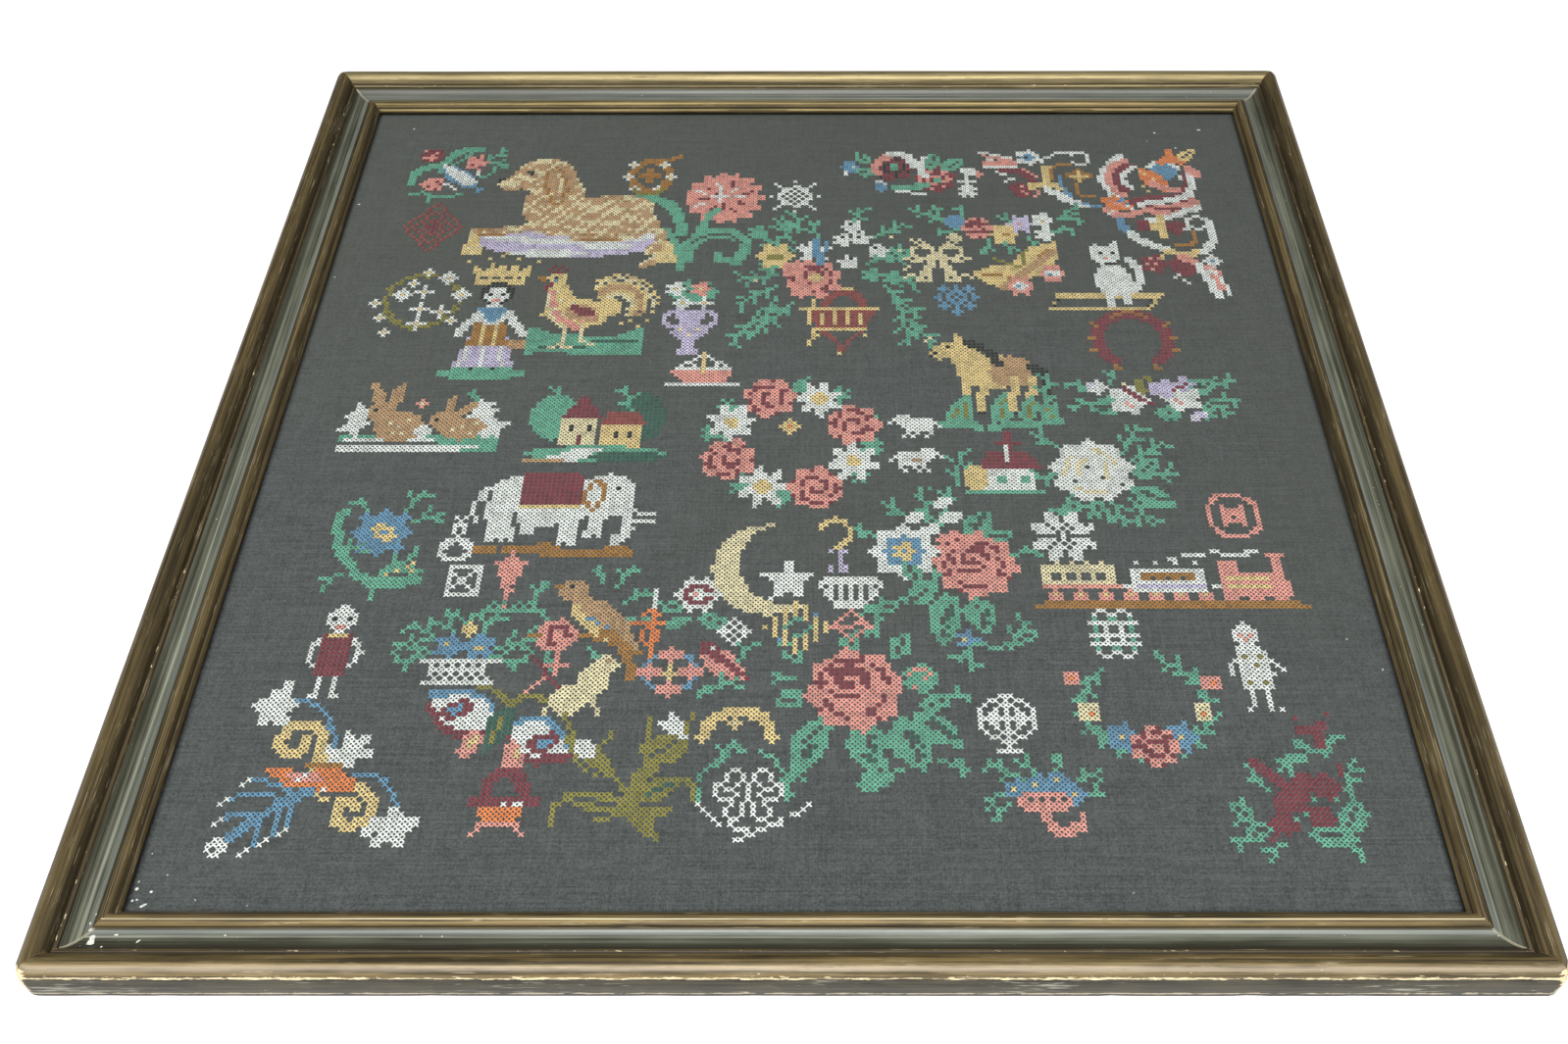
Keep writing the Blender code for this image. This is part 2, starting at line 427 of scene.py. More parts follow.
def add_rail(side, quarter, finishes):
    """One length of moulding: its outline stands on one mitre and is drawn to the other."""
    half_side = SIGHT_SIDE / 2
    work = bmesh.new()
    along = work.verts.layers.float.new("along")
    across = work.verts.layers.float.new("across")
    mitre = work.verts.layers.float.new("mitre")
    corners = []
    for outward, height in moulding_outline():
        corner = work.verts.new((MITRE_GAP - half_side - outward, -half_side - outward, height))
        corner[across] = way_across((outward, height))
        corners.append(corner)
    end_face = work.faces.new(corners)
    drawn = bmesh.ops.extrude_face_region(work, geom=[end_face])
    far_corners = [item for item in drawn["geom"] if isinstance(item, bmesh.types.BMVert)]
    bmesh.ops.scale(work, vec=(-1.0, 1.0, 1.0), verts=far_corners)
    lengths = [edge for edge in work.edges if edge.calc_length() > half_side]
    bmesh.ops.subdivide_edges(work, edges=lengths, cuts=RAIL_CUTS)
    bmesh.ops.recalc_face_normals(work, faces=work.faces)
    for face in work.faces:
        middle = face.calc_center_median()
        on_mitre = abs(face.normal.x) > 0.5
        face.material_index = BARE if on_mitre else part_of_the_moulding(-half_side - middle.y, middle.z)
    for corner in work.verts:
        end = -corner.co.y - MITRE_GAP
        share = corner.co.x / end
        corner.co.x = end * share * (1.5 - 0.5 * share * share)
        corner[along] = corner.co.x + RAIL_STEP * quarter
        corner[mitre] = end - abs(corner.co.x)
        wear(corner, end, quarter)
    turn_about(work, work.verts, quarter * pi / 2)
    rail = add_piece("moulding_" + side, work, *finishes, smooth=34)
    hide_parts("rail_" + side)
    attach(rail, "root")


def wear(corner, end, quarter):
    """Round the outer corner, dent the arris and the foot, and keep the beads from being dead straight."""
    x, y, z = corner.co
    outward = -SIGHT_SIDE / 2 - y
    near_mitre = max(0.0, 1 - (end - abs(x)) / CORNER_RADIUS)
    worn = max(0.0, min(1.0, (outward - 0.027) / 0.006))
    sweep = radians(45) * near_mitre
    corner.co.y += CORNER_RADIUS * (1 - cos(sweep)) * worn
    corner.co.x -= copysign(CORNER_RADIUS * (near_mitre - sin(sweep)) * worn, x)
    if outward > 0.0325 and (abs(z - BEAD_ARRIS[1]) < 0.0012 or z < 0.002):
        dent = max(0.0, noise.noise(Vector((x * 70, z * 300 + 3.1 * quarter, 7.0))) - 0.12) * (1 - near_mitre)
        corner.co.y += 0.0007 * dent
        corner.co.z -= 0.0006 * dent if z > 0.01 else 0.0
    elif z > SIGHT_HEIGHT + 0.0005 and outward < 0.0325:
        waver = 0.5 + noise.noise(Vector((x * 14, y * 260, 2.3 * quarter)))
        corner.co.z -= 0.00016 * waver * (1 - near_mitre)


def add_moulding():
    finishes = (bead_gilt(), cove_paint(), side_gilt(), bare_wood())
    for quarter, side in enumerate(("bottom", "right", "top", "left")):
        add_rail(side, quarter, finishes)


# Glass, cloth and board

def window_glass():
    """A clear pane: what lies behind it shows, with the studio's soft reflections on top."""
    finish = Finish("clear_pane", Roughness=0.03, Base_Color=(0.0, 0.0, 0.0, 1.0), Specular_IOR_Level=1.0)
    clear = finish.node("BsdfTransparent", None, {0: (0.965, 0.98, 0.972)})
    inner_face = finish.node("NewGeometry", output="Backfacing")
    gleam = finish.node("Fresnel", None, {0: 1.52}) * (1 - inner_face)
    pane = finish.node("MixShader", None, {0: gleam, 1: clear, 2: Flow(finish, finish.shader.outputs[0])})
    finish.feed(finish.tree.nodes["Material Output"].inputs[0], pane)
    return finish.material


def slate_cloth():
    """Plain even-weave cloth: threads over and under one another, uneven across, faded in clouds."""
    finish = Finish("slate_cloth", Specular_IOR_Level=0.2, Sheen_Weight=0.12, Sheen_Roughness=0.6)
    place = finish.place()
    east = finish.node("SeparateXYZ", None, {0: place}, 0)
    north = finish.node("SeparateXYZ", None, {0: place}, 1)
    warp = (east * (pi / THREAD_PITCH)).wave()
    weft = (north * (pi / THREAD_PITCH)).wave()
    over = warp * weft > 0.0
    warp_thread = warp.size() ** 0.5 * (0.45 + 0.55 * weft.size())
    weft_thread = weft.size() ** 0.5 * (0.45 + 0.55 * warp.size())
    height = over * warp_thread + (1 - over) * weft_thread
    slubs = finish.noise(finish.place((18, 880, 1)), 1.0, 5, 0.75)
    ends = finish.noise(finish.place((880, 26, 1)), 1.0, 4, 0.7)
    fade = finish.noise(place, 5, 3, 0.5)
    mottle = finish.noise(place, 120, 5, 0.75)
    fluff = finish.noise(place, 900, 3, 0.7)
    tone = finish.ramp(slubs * 0.30 + ends * 0.16 + fluff * 0.40 + mottle * 0.14, (0.42, 0.0), (0.58, 1.0))
    colour = finish.mix(tone, (0.040, 0.043, 0.045), (0.128, 0.134, 0.139))
    # Painted shade: the cloth is darkened where the threads dip between one another.
    colour = finish.mix(finish.ramp(height, (0.12, 0.85), (0.75, 0.0)), colour, (0.018, 0.020, 0.021))
    browner = finish.ramp(fade * 0.7 + north * 0.9 + 0.1, (0.30, 0.0), (0.66, 1.0))
    colour = finish.mix(browner * 0.38, colour, (0.080, 0.079, 0.058))
    deeper = finish.ramp(east * 0.5 + north * 0.7 + fade * 0.5, (0.22, 0.0), (0.62, 1.0))
    colour = finish.mix(deeper * 0.30, colour, (0.030, 0.033, 0.032))
    return finish.surface(Base_Color=colour, Roughness=0.82 + fluff * 0.12,
                          Normal=finish.bump(height + slubs * 0.4 + fluff * 0.5, 0.0003, 0.8))


def pressed_board():
    """Brown hardboard with a fine screen pattern and darker fibres."""
    finish = Finish("pressed_board", Specular_IOR_Level=0.3)
    place = finish.place()
    east = finish.node("SeparateXYZ", None, {0: place}, 0)
    north = finish.node("SeparateXYZ", None, {0: place}, 1)
    screen = (east * 2400).wave() * (north * 2400).wave()
    fibres = finish.noise(place, 320, 4, 0.7)
    patches = finish.noise(place, 9, 3, 0.5)
    colour = finish.mix(finish.ramp(fibres * 0.6 + patches * 0.4, (0.38, 0.0), (0.62, 1.0)),
                        (0.115, 0.060, 0.028), (0.26, 0.155, 0.080))
    return finish.surface(Base_Color=colour, Roughness=0.70 + fibres * 0.2,
                          Normal=finish.bump(screen * 0.5 + fibres, 0.0002, 0.6))


def add_cloth():
    """The stretched cloth, with the small unevenness of a cloth under glass."""
    work = bmesh.new()
    bmesh.ops.create_grid(work, x_segments=72, y_segments=72, size=CLOTH_SIDE / 2)
    for corner in work.verts:
        swell = noise.noise(Vector((corner.co.x * 16, corner.co.y * 16, 4.2)))
        corner.co.z = CLOTH_TOP - 0.00005 + 0.00006 * swell
    thickness = bmesh.ops.extrude_face_region(work, geom=list(work.faces), use_keep_orig=True)
    under = [item for item in thickness["geom"] if isinstance(item, bmesh.types.BMVert)]
    bmesh.ops.translate(work, vec=(0, 0, -CLOTH_THICKNESS + 0.0001), verts=under)
    bmesh.ops.recalc_face_normals(work, faces=work.faces)
    cloth = add_piece("even_weave_cloth", work, slate_cloth(), smooth=40)
    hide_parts("cloth")
    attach(cloth, "root")
    return cloth


def refinish(node, material):
    """Give a solid that is kept a better material."""
    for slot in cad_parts[node].material_slots:
        slot.material = material


# The chart of the stitched picture

class Chart:
    """The stitched picture: the yarn of each cell, by column from the left and row from the top."""

    def __init__(self):
        self.cells = {}

    def stitch(self, column, row, yarn):
        cell = (round(column), round(row))
        if yarn:
            self.cells[cell] = yarn
        else:
            self.cells.pop(cell, None)

    def dots(self, yarn, *places):
        for column, row in places:
            self.stitch(column, row, yarn)

    def fill(self, column, row, reach, yarn, inside):
        """Every cell near a centre for which inside(across, up) is true."""
        for c in range(floor(column - reach), floor(column + reach) + 2):
            for r in range(floor(row - reach), floor(row + reach) + 2):
                if inside(c - column, row - r):
                    self.stitch(c, r, yarn)

    def blob(self, column, row, half_width, half_height, yarn, turn=0):
        """A filled oval, turned by an angle in degrees."""
        cosine, sine = cos(radians(turn)), sin(radians(turn))

        def inside(x, y):
            along = (x * cosine + y * sine) / half_width
            aside = (y * cosine - x * sine) / half_height
            return along * along + aside * aside <= 1.02
        self.fill(column, row, max(half_width, half_height), yarn, inside)

    def stroke(self, yarn, points, width=1):
        """A line through points, one or more cells wide."""
        for (c0, r0), (c1, r1) in zip(points, points[1:]):
            steps = max(1, round(max(abs(c1 - c0), abs(r1 - r0))))
            for step in range(steps + 1):
                c = c0 + (c1 - c0) * step / steps
                r = r0 + (r1 - r0) * step / steps
                if width == 1:
                    self.stitch(c, r, yarn)
                elif width == 2:
                    self.dots(yarn, *((c + right, r + down)
                                      for right in (-0.25, 0.75) for down in (-0.25, 0.75)))
                else:
                    self.blob(c, r, width / 2, width / 2, yarn)

    def scroll(self, yarn, column, row, radius, start, turns, width=2):
        """A scroll that winds inwards from radius; turns below zero wind it the other way."""
        points = []
        for step in range(25):
            share = step / 24
            reach = radius * (1 - 0.78 * share)
            angle = radians(start + 360 * turns * share)
            points.append((column + reach * cos(angle), row - reach * sin(angle)))
        self.stroke(yarn, points, width)

    def bend(self, yarn, start, pull, end, width=1):
        """A line from start to end that leans towards pull."""
        points = []
        for step in range(13):
            t = step / 12
            points.append(tuple((1 - t) ** 2 * a + 2 * t * (1 - t) * b + t * t * c
                                for a, b, c in zip(start, pull, end)))
        self.stroke(yarn, points, width)

    def arc(self, yarn, column, row, half_width, half_height, start=0, end=360, width=1):
        """Part of an oval outline, between two angles in degrees."""
        steps = max(8, round(abs(end - start) / 8))
        points = []
        for step in range(steps + 1):
            angle = radians(start + (end - start) * step / steps)
            points.append((column + half_width * cos(angle), row - half_height * sin(angle)))
        self.stroke(yarn, points, width)

    def polygon(self, yarn, *corners):
        """Every cell inside an outline with straight sides."""
        rows = [r for _, r in corners]
        columns = [c for c, _ in corners]
        for r in range(floor(min(rows)), floor(max(rows)) + 2):
            for c in range(floor(min(columns)), floor(max(columns)) + 2):
                crossings = 0
                for (c0, r0), (c1, r1) in zip(corners, corners[1:] + corners[:1]):
                    if (r0 > r) != (r1 > r) and c < c0 + (r - r0) * (c1 - c0) / (r1 - r0):
                        crossings += 1
                if crossings % 2:
                    self.stitch(c, r, yarn)

    def rows(self, column, row, lines, flip=False):
        """A small chart given row by row: a letter for each yarn, a space where the cloth shows."""
        for down, line in enumerate(lines):
            for along, letter in enumerate(reversed(line) if flip else line):
                if letter != " ":
                    self.stitch(column + along, row + down, LETTERS[letter])

    def leaf(self, column, row, angle, length, width, yarn="jade", vein=None):
        """A pointed leaf from its stalk, with its vein left open or worked in another yarn."""
        cosine, sine = cos(radians(angle)), sin(radians(angle))

        def spot(x, y):
            return (x * cosine + y * sine) / length, abs(y * cosine - x * sine)

        def inside(x, y):
            along, aside = spot(x, y)
            return 0 <= along <= 1 and aside <= width / 2 * sin(pi * along ** 0.8) + 0.3

        def on_vein(x, y):
            along, aside = spot(x, y)
            return 0.2 < along < 0.8 and aside < 0.45

        def in_shade(x, y):
            along = (x * cosine + y * sine) / length
            aside = y * cosine - x * sine
            return 0.25 < along < 0.8 and 0.5 < aside < width / 4 and round(x + y) % 3
        self.fill(column, row, length, yarn, inside)
        if width > 2.5:
            self.fill(column, row, length, vein, on_vein)
        if width >= 5 and yarn == "jade":
            self.fill(column, row, length, "forest", in_shade)

    def fern(self, column, row, angle, length, side=3, yarn="jade"):
        """A lacy spray: a stalk with short slanting leaflets on alternate sides."""
        cosine, sine = cos(radians(angle)), sin(radians(angle))
        self.stroke(yarn, [(column, row), (column + length * cosine, row - length * sine)])
        for step in range(2, round(length), 2):
            c = column + step * cosine
            r = row - step * sine
            way = radians(angle + (50 if step % 4 else -50))
            self.stroke(yarn, [(c, r), (c + side * cos(way), r - side * sin(way))])

    def petals(self, column, row, radius, count, yarn, waist=0.6, turn=0):
        """A flower's outline, filled, with count round petals that draw in to waist between them."""
        def inside(x, y):
            swing = cos(count * (atan2(y, x) - radians(turn)))
            return hypot(x, y) <= radius * (waist + (1 - waist) * (0.5 + 0.5 * swing)) + 0.2
        self.fill(column, row, radius, yarn, inside)

    def daisy(self, column, row, radius=5.4, count=6, yarn="white", heart="straw", turn=0):
        self.petals(column, row, radius, count, yarn, 0.55, turn)
        self.blob(column, row, radius * 0.3, radius * 0.3, heart)

    def floret(self, column, row, yarn="white", heart="straw"):
        """Five cells in a cross with another yarn in the middle."""
        self.dots(yarn, (column - 1, row), (column + 1, row), (column, row - 1), (column, row + 1))
        self.stitch(column, row, heart)

    def great_rose(self, column, row, radius, turn=0):
        """Overlapping petals drawn in burgundy, thickest in the heart and thinner outwards."""
        self.petals(column, row, radius, 8, "coral", 0.84, turn)
        heart = (column - 0.12 * radius, row - 0.18 * radius)
        self.blob(*heart, 0.46 * radius, 0.40 * radius, "burgundy", turn)
        self.arc("coral", *heart, 0.34 * radius, 0.28 * radius, turn + 150, turn + 330)
        self.arc("coral", heart[0] + 0.06 * radius, *heart[1:],
                 0.14 * radius, 0.12 * radius, turn - 60, turn + 140)
        for start, end, reach in ((70, 165, 0.72), (195, 250, 0.66), (285, 335, 0.60), (0, 45, 0.68)):
            self.arc("burgundy", column, row, reach * radius, reach * radius, turn + start, turn + end)
        for notch in (1, 3, 4, 6):
            place = radians(turn + 45 * notch + 22.5)
            self.stroke("burgundy", [(column + 0.66 * radius * cos(place), row - 0.66 * radius * sin(place)),
                                     (column + 0.84 * radius * cos(place),
                                      row - 0.84 * radius * sin(place))])

    def rose(self, column, row, radius, yarn="coral", shade="burgundy", turn=0, count=7):
        """Scalloped petals with their folds worked as a broken spiral."""
        self.petals(column, row, radius, count, yarn, 0.84, turn)
        for step in range(2, round(7 * radius)):
            angle = step / (7 * radius) * 3.1 * pi
            if step % 9 not in (0, 1):
                reach = 0.9 + (radius - 2.2) * step / (7 * radius)
                place = angle + radians(turn)
                self.stitch(column + reach * cos(place), row - reach * sin(place), shade)
        for notch in range(count):
            place = radians(turn + 360 / count * (notch + 0.5))
            reach = radius * 0.8
            self.stitch(column + reach * cos(place), row - reach * sin(place), shade)


LETTERS = {"w": "white", "i": "ivory", "y": "straw", "p": "coral", "m": "burgundy", "r": "brick",
           "g": "jade", "e": "forest", "o": "olive", "b": "blue", "l": "lavender", "t": "tan",
           "n": "amber", "a": "orange", "k": "black"}


def posies_at_the_top(c):
    """Top left spray, the tall coral bloom and the dark rose spray."""
    c.bend("jade", (20, 25), (21, 16), (29, 16), 2)
    c.bend("jade", (22, 25), (25, 21), (27, 18))
    c.bend("jade", (13, 30), (13, 22), (21, 24), 2)
    c.bend("jade", (14, 35), (20, 33), (19, 38))
    c.bend("jade", (17, 34), (22, 38), (27, 35))
    c.fern(31, 22, 48, 7, 2)
    c.fern(32, 22, -10, 5, 2)
    c.bend("jade", (34, 24), (35, 27), (31, 28))
    c.blob(17, 19, 3.2, 2.6, "burgundy")
    c.blob(17, 20, 1.4, 1.2, "coral")
    c.dots("coral", (15, 17), (18, 18), (15, 20))
    c.petals(29, 22, 3, 5, "coral", 0.7)
    c.dots("burgundy", (30, 24), (28, 23), (29, 20), (31, 21))
    c.petals(19, 31, 3, 5, "coral", 0.7, 30)
    c.dots("burgundy", (18, 32), (20, 33), (20, 30), (21, 31))
    c.blob(25.5, 28, 6.5, 2.6, "blue", -42)
    c.blob(25, 27, 6, 1.5, "white", -42)
    c.blob(27.5, 29.5, 2.6, 1.7, "white", -20)
    c.dots("white", (30, 26), (30, 27), (24, 32), (25, 33), (23, 31), (22, 31))
    c.dots("blue", (31, 33), (31, 34), (32, 33))
    c.petals(94, 36.5, 10.2, 15, "coral", 0.84)
    for step in range(13):
        way = step * 2.4
        near = 3 + 0.25 * step
        c.stroke("burgundy" if step % 3 else "white",
                 [(94 + near * cos(way), 36.5 - 0.85 * near * sin(way)),
                  (94 + (near + 2) * cos(way), 36.5 - 0.85 * (near + 2) * sin(way))])
    c.petals(93, 36, 2, 4, "white", 0.5)
    c.bend("jade", (73, 37), (83, 36), (84, 50), 3)
    c.bend("jade", (80, 49), (84, 54), (84, 63), 2)
    c.bend("jade", (92, 41), (88, 47), (86, 60), 2)
    c.bend("jade", (85, 60), (87, 48), (97, 51), 4)
    c.bend("jade", (96, 51), (103, 53), (98, 61), 3)
    c.bend("jade", (97, 60), (93, 62), (93, 58), 2)
    c.stroke(None, [(87, 54), (91, 51), (96, 51), (99, 54)])
    c.rose(137, 24, 5.6, "burgundy", "black")
    c.arc("coral", 137, 24, 4.6, 4.6, 100, 215, 2)
    c.bend("white", (136, 18), (142, 18), (142, 23), 2)
    c.blob(137.5, 24, 1.4, 1.4, "jade")
    c.rose(148, 29, 5.2, "burgundy", "coral", 20)
    c.blob(148.5, 29.5, 1.6, 1.2, "jade")
    c.bend("white", (146, 20), (143, 24), (145, 27), 2)
    c.leaf(147, 25, 80, 7, 4)
    c.leaf(150, 25, 35, 7, 4)
    c.leaf(132, 27, 160, 5, 3)
    c.leaf(131, 22, 130, 5, 3)
    c.blob(126, 24, 2, 2.4, "blue")
    c.dots("white", (125, 26), (125, 27), (127, 24))
    c.bend("jade", (137, 32), (141, 33), (145, 31), 2)
    c.stroke("white", [(138, 34), (145, 35)])
    c.blob(134, 32, 1.6, 2, "blue")
    c.dots("white", (133, 30), (134, 30), (135, 31))
    c.blob(157, 26, 3, 1.8, "white", -20)
    c.dots("coral", (159, 27), (160, 27), (159, 28), (159, 26))
    c.petals(156, 30, 2.4, 4, "white", 0.4)
    c.petals(156, 34, 2.6, 4, "white", 0.4, 45)


def resting_hound(c):
    """A long-haired hound at rest on a lavender cushion."""
    c.blob(57, 53, 23, 6.4, "lavender")
    c.bend("white", (36, 51), (57, 56), (78, 51), 2)
    c.blob(52, 58, 9, 1.2, "white")
    c.blob(66, 55.4, 7, 1, "white")
    c.blob(61, 43.5, 16, 7, "tan", 14)
    c.blob(70, 46.5, 8, 5.6, "tan")
    c.blob(51, 38, 7.4, 11, "tan", -10)
    c.blob(47.5, 27.5, 7.8, 6.8, "tan")
    c.blob(40.5, 30.4, 4.6, 2.8, "tan", 8)
    c.bend("tan", (48, 47), (42, 50), (33, 50), 3)
    c.bend("tan", (72, 51), (66, 53), (58, 52), 3)
    c.bend("tan", (76, 48), (82, 52), (77, 57), 3)
    c.bend("tan", (77, 55), (80, 60), (75, 62), 2)
    for (column, row), yarn in list(c.cells.items()):
        if yarn == "tan" and 28 < column < 82 and 20 < row < 64:
            curl = (sin(0.62 * column + 1.5 * sin(0.31 * row + 0.4))
                    * sin(1.25 * row + 0.22 * column + 1.1 * sin(0.5 * column))
                    + 0.6 * sin(2.3 * column + 1.7 * row))
            if curl > 0.16:
                c.stitch(column, row, "ivory")
    c.leaf(50.5, 23, -80, 16, 6.4, "tan", "ivory")
    c.bend("amber", (50, 24), (55.5, 31), (52.5, 39))
    c.bend("amber", (48.5, 26), (47.5, 33), (51, 39))
    c.bend("tan", (44, 38), (47, 42), (52, 43))
    c.blob(39, 30.4, 2.4, 1.4, "ivory")
    c.dots("black", (43, 26), (44, 26), (44, 27), (36, 29), (36, 30), (37, 29))
    c.stroke("tan", [(38, 33), (43, 32)])
    c.stroke("amber", [(33, 51), (40, 51)])
    c.stroke("amber", [(60, 53), (68, 53)])
    c.dots("amber", (34, 49), (36, 49), (60, 51), (62, 51))
    for column, row in ((33, 56), (81, 59)):
        c.polygon("straw", (column - 1, row - 5), (column + 1, row - 5), (column + 3, row + 3),
                  (column - 3, row + 3))
        c.dots("ivory", (column, row - 4), (column - 1, row), (column + 1, row), (column, row + 2))


def ornaments(c):
    """Small plain ornaments between the larger motifs."""
    c.arc("amber", 74.5, 27.5, 5, 6, 0, 360, 2)
    c.petals(74.5, 27.5, 2.6, 4, "amber", 0.5)
    for column, row in ((70, 23), (69, 28), (71, 33), (77, 33), (80, 28), (78, 23)):
        c.floret(column, row)
    c.arc("olive", 74.5, 33, 4, 2, 190, 350)
    c.bend("amber", (77, 21), (81, 21), (82, 19))
    for size in (3, 6, 9):
        c.stroke("brick", [(22 - 0.8 * size, 48), (22, 48 - size), (22 + 0.8 * size, 48), (22, 48 + size),
                           (22 - 0.8 * size, 48)])
    c.petals(22, 48, 2, 4, "burgundy", 0.5)
    for turn in range(0, 180, 45):
        way = radians(turn)
        c.stroke("white", [(112 - 6.5 * cos(way), 36 + 6.5 * sin(way)),
                           (112 + 6.5 * cos(way), 36 - 6.5 * sin(way))])
    c.arc("white", 112, 36, 3.6, 3.6)
    c.rows(146, 70, ("  b  b  b  ", " bbb b bbb ", "  b bbb b  ", " b bb bb b ", "bb b b b bb",
                     " b bb bb b ", "  b bbb b  ", " bbb b bbb ", "  b  b  b  ", "    bbb    ",
                     "     b     "))
    c.arc("coral", 205, 141.5, 5.4, 5.8)
    c.petals(205, 141.5, 3.6, 4, "coral", 0.4, 45)
    c.stitch(205, 141.5, None)
    c.rows(172, 166, ("  ww  ww  ", " w  ww  w ", " g  gg  g ", "wwwwwwwwww", " g w  w g ", " g w  w g ",
                      "wwwwwwwwww", " g w  w g ", "wwwwwwwwww", " g  gg  g ", " w  ww  w ", "  ww  ww  "))
    c.rows(149, 186, ("    www    ", "  ww w ww  ", " w  www  w ", "w  w w w  w", "w ww w ww w",
                      "wwwwwwwwwww", "w ww w ww w", "w  w w w  w", " w  www  w ", "  ww w ww  ",
                      "    www    ", "     w     ", "   wwwww   "))
    c.rows(110, 114, ("  y  ", " yyy ", "yyayy", " yyy ", "  y  "))
    c.arc("straw", 103.5, 194, 6, 5, 0, 180, 2)
    c.floret(103, 192, "straw", "ivory")
    c.dots("straw", (97, 196), (110, 196), (96, 195), (111, 195))


def crown_and_blossoms(c):
    c.polygon("straw", (36, 69.6), (47.4, 69.6), (49, 62), (45.6, 65), (44.6, 61), (42.6, 65), (41.6, 60),
              (40.6, 65), (38.6, 61), (37.6, 65), (34, 62))
    c.stroke(None, [(37, 67), (46, 67)])
    c.dots("straw", (33, 61), (50, 61), (41, 59), (42, 58), (38, 60), (45, 60), (39, 67), (42, 67), (45, 67))
    for step in range(14):
        way = radians(26 * step + 10)
        c.fern(24 + 8.5 * cos(way), 75 - 9 * sin(way), 26 * step + 95, 3, 2, "olive")
    for column, row, size in ((24, 65, 1.4), (29, 67, 2.2), (19, 73, 2.2), (24, 72, 1.8), (33, 73, 2.2),
                              (24, 78, 2), (29, 79, 1.8), (32, 82, 1.6), (15, 81, 1.4), (24, 83, 2),
                              (17, 86, 1.4), (21, 69, 1.3), (13, 76, 1.2)):
        c.petals(column, row, size, 4, "white", 0.6)
        c.stitch(column, row, "straw")


def farm_maid(c):
    """A small standing figure with an apron, on a strip of grass."""
    c.blob(41.5, 99.5, 10.5, 1.9, "jade")
    c.polygon("lavender", (38, 84), (45, 84), (48.5, 97.6), (34.5, 97.6))
    for column in (37, 41, 45):
        c.stroke("white", [(column, 91), (column + (column - 41) * 0.15, 97)], 1)
    c.polygon("amber", (38, 83), (45, 83), (46.4, 91), (36.6, 91))
    c.stroke("straw", [(40, 84), (39.6, 90)])
    c.stroke("straw", [(43, 84), (43.4, 90)])
    c.blob(41.5, 80, 4.2, 3.4, "white")
    c.stroke("white", [(38, 79), (34, 86)], 2)
    c.stroke("white", [(45, 79), (49, 86)], 2)
    c.polygon("blue", (38, 78), (45, 78), (42, 82.6), (41, 82.6))
    c.blob(41.5, 72.5, 4, 4, "black")
    c.blob(41.5, 73.4, 2.6, 3, "white")
    c.dots("black", (40, 73), (43, 73))
    c.dots("coral", (41, 75), (42, 75))
    c.stroke("white", [(40, 77), (43, 77)])
    c.blob(48.5, 90, 2.2, 1.8, "tan")
    c.dots("black", (39, 98), (44, 98))


def rooster(c):
    c.polygon("jade", (51, 84), (56, 86), (66, 87.5), (72, 87), (78, 84), (78, 94), (51, 94))
    c.stroke("forest", [(54, 91), (64, 91)])
    c.stroke("forest", [(66, 89), (76, 89)])
    c.stroke(None, [(53, 93), (60, 93)])
    c.blob(61, 79, 7.6, 4.8, "straw", -18)
    c.polygon("straw", (53, 80), (54, 67), (57, 67), (61, 75), (58, 83))
    c.bend("coral", (54, 72), (55, 80), (61, 84), 2)
    c.blob(62.5, 79.6, 4.6, 2.6, "tan", -20)
    c.blob(62.5, 78.8, 3.6, 1.4, "burgundy", -24)
    c.dots("coral", (58, 80), (60, 82), (63, 82), (65, 81))
    for spread in range(6):
        reach = 4.2 + 1.3 * spread
        yarn = ("ivory", "straw", "tan", "straw", "ivory", "straw")[spread]
        c.arc(yarn, 70.5, 76, 0.86 * reach, 0.92 * reach, 150 - 4 * spread, -48 + 10 * spread,
              2 if spread < 3 else 1)
    c.blob(68.5, 77.5, 3.4, 3, "straw", 40)
    c.dots(None, (72, 77), (73, 79), (71, 80), (76, 79), (78, 75))
    c.dots("straw", (74, 82), (76, 84), (72, 83), (79, 79), (78, 82))
    c.blob(55.4, 67, 2.4, 2, "straw")
    c.dots("burgundy", (53, 64), (54, 63), (55, 64), (56, 63), (57, 64), (54, 65), (56, 65), (55, 65),
           (53, 70), (53, 71), (54, 70), (54, 69))
    c.dots("amber", (51, 67), (52, 67), (52, 68))
    c.dots("blue", (55, 68))
    c.dots("black", (55, 67))
    c.bend("ivory", (54, 73), (54, 80), (58, 84))
    c.dots("ivory", (56, 72), (57, 75), (56, 78), (58, 80), (60, 76))
    c.stroke("ivory", [(59, 84), (59, 90), (56, 91)])
    c.stroke("ivory", [(63, 84), (63, 89), (66, 90)])
    c.stroke("ivory", [(59, 91), (61, 91)])


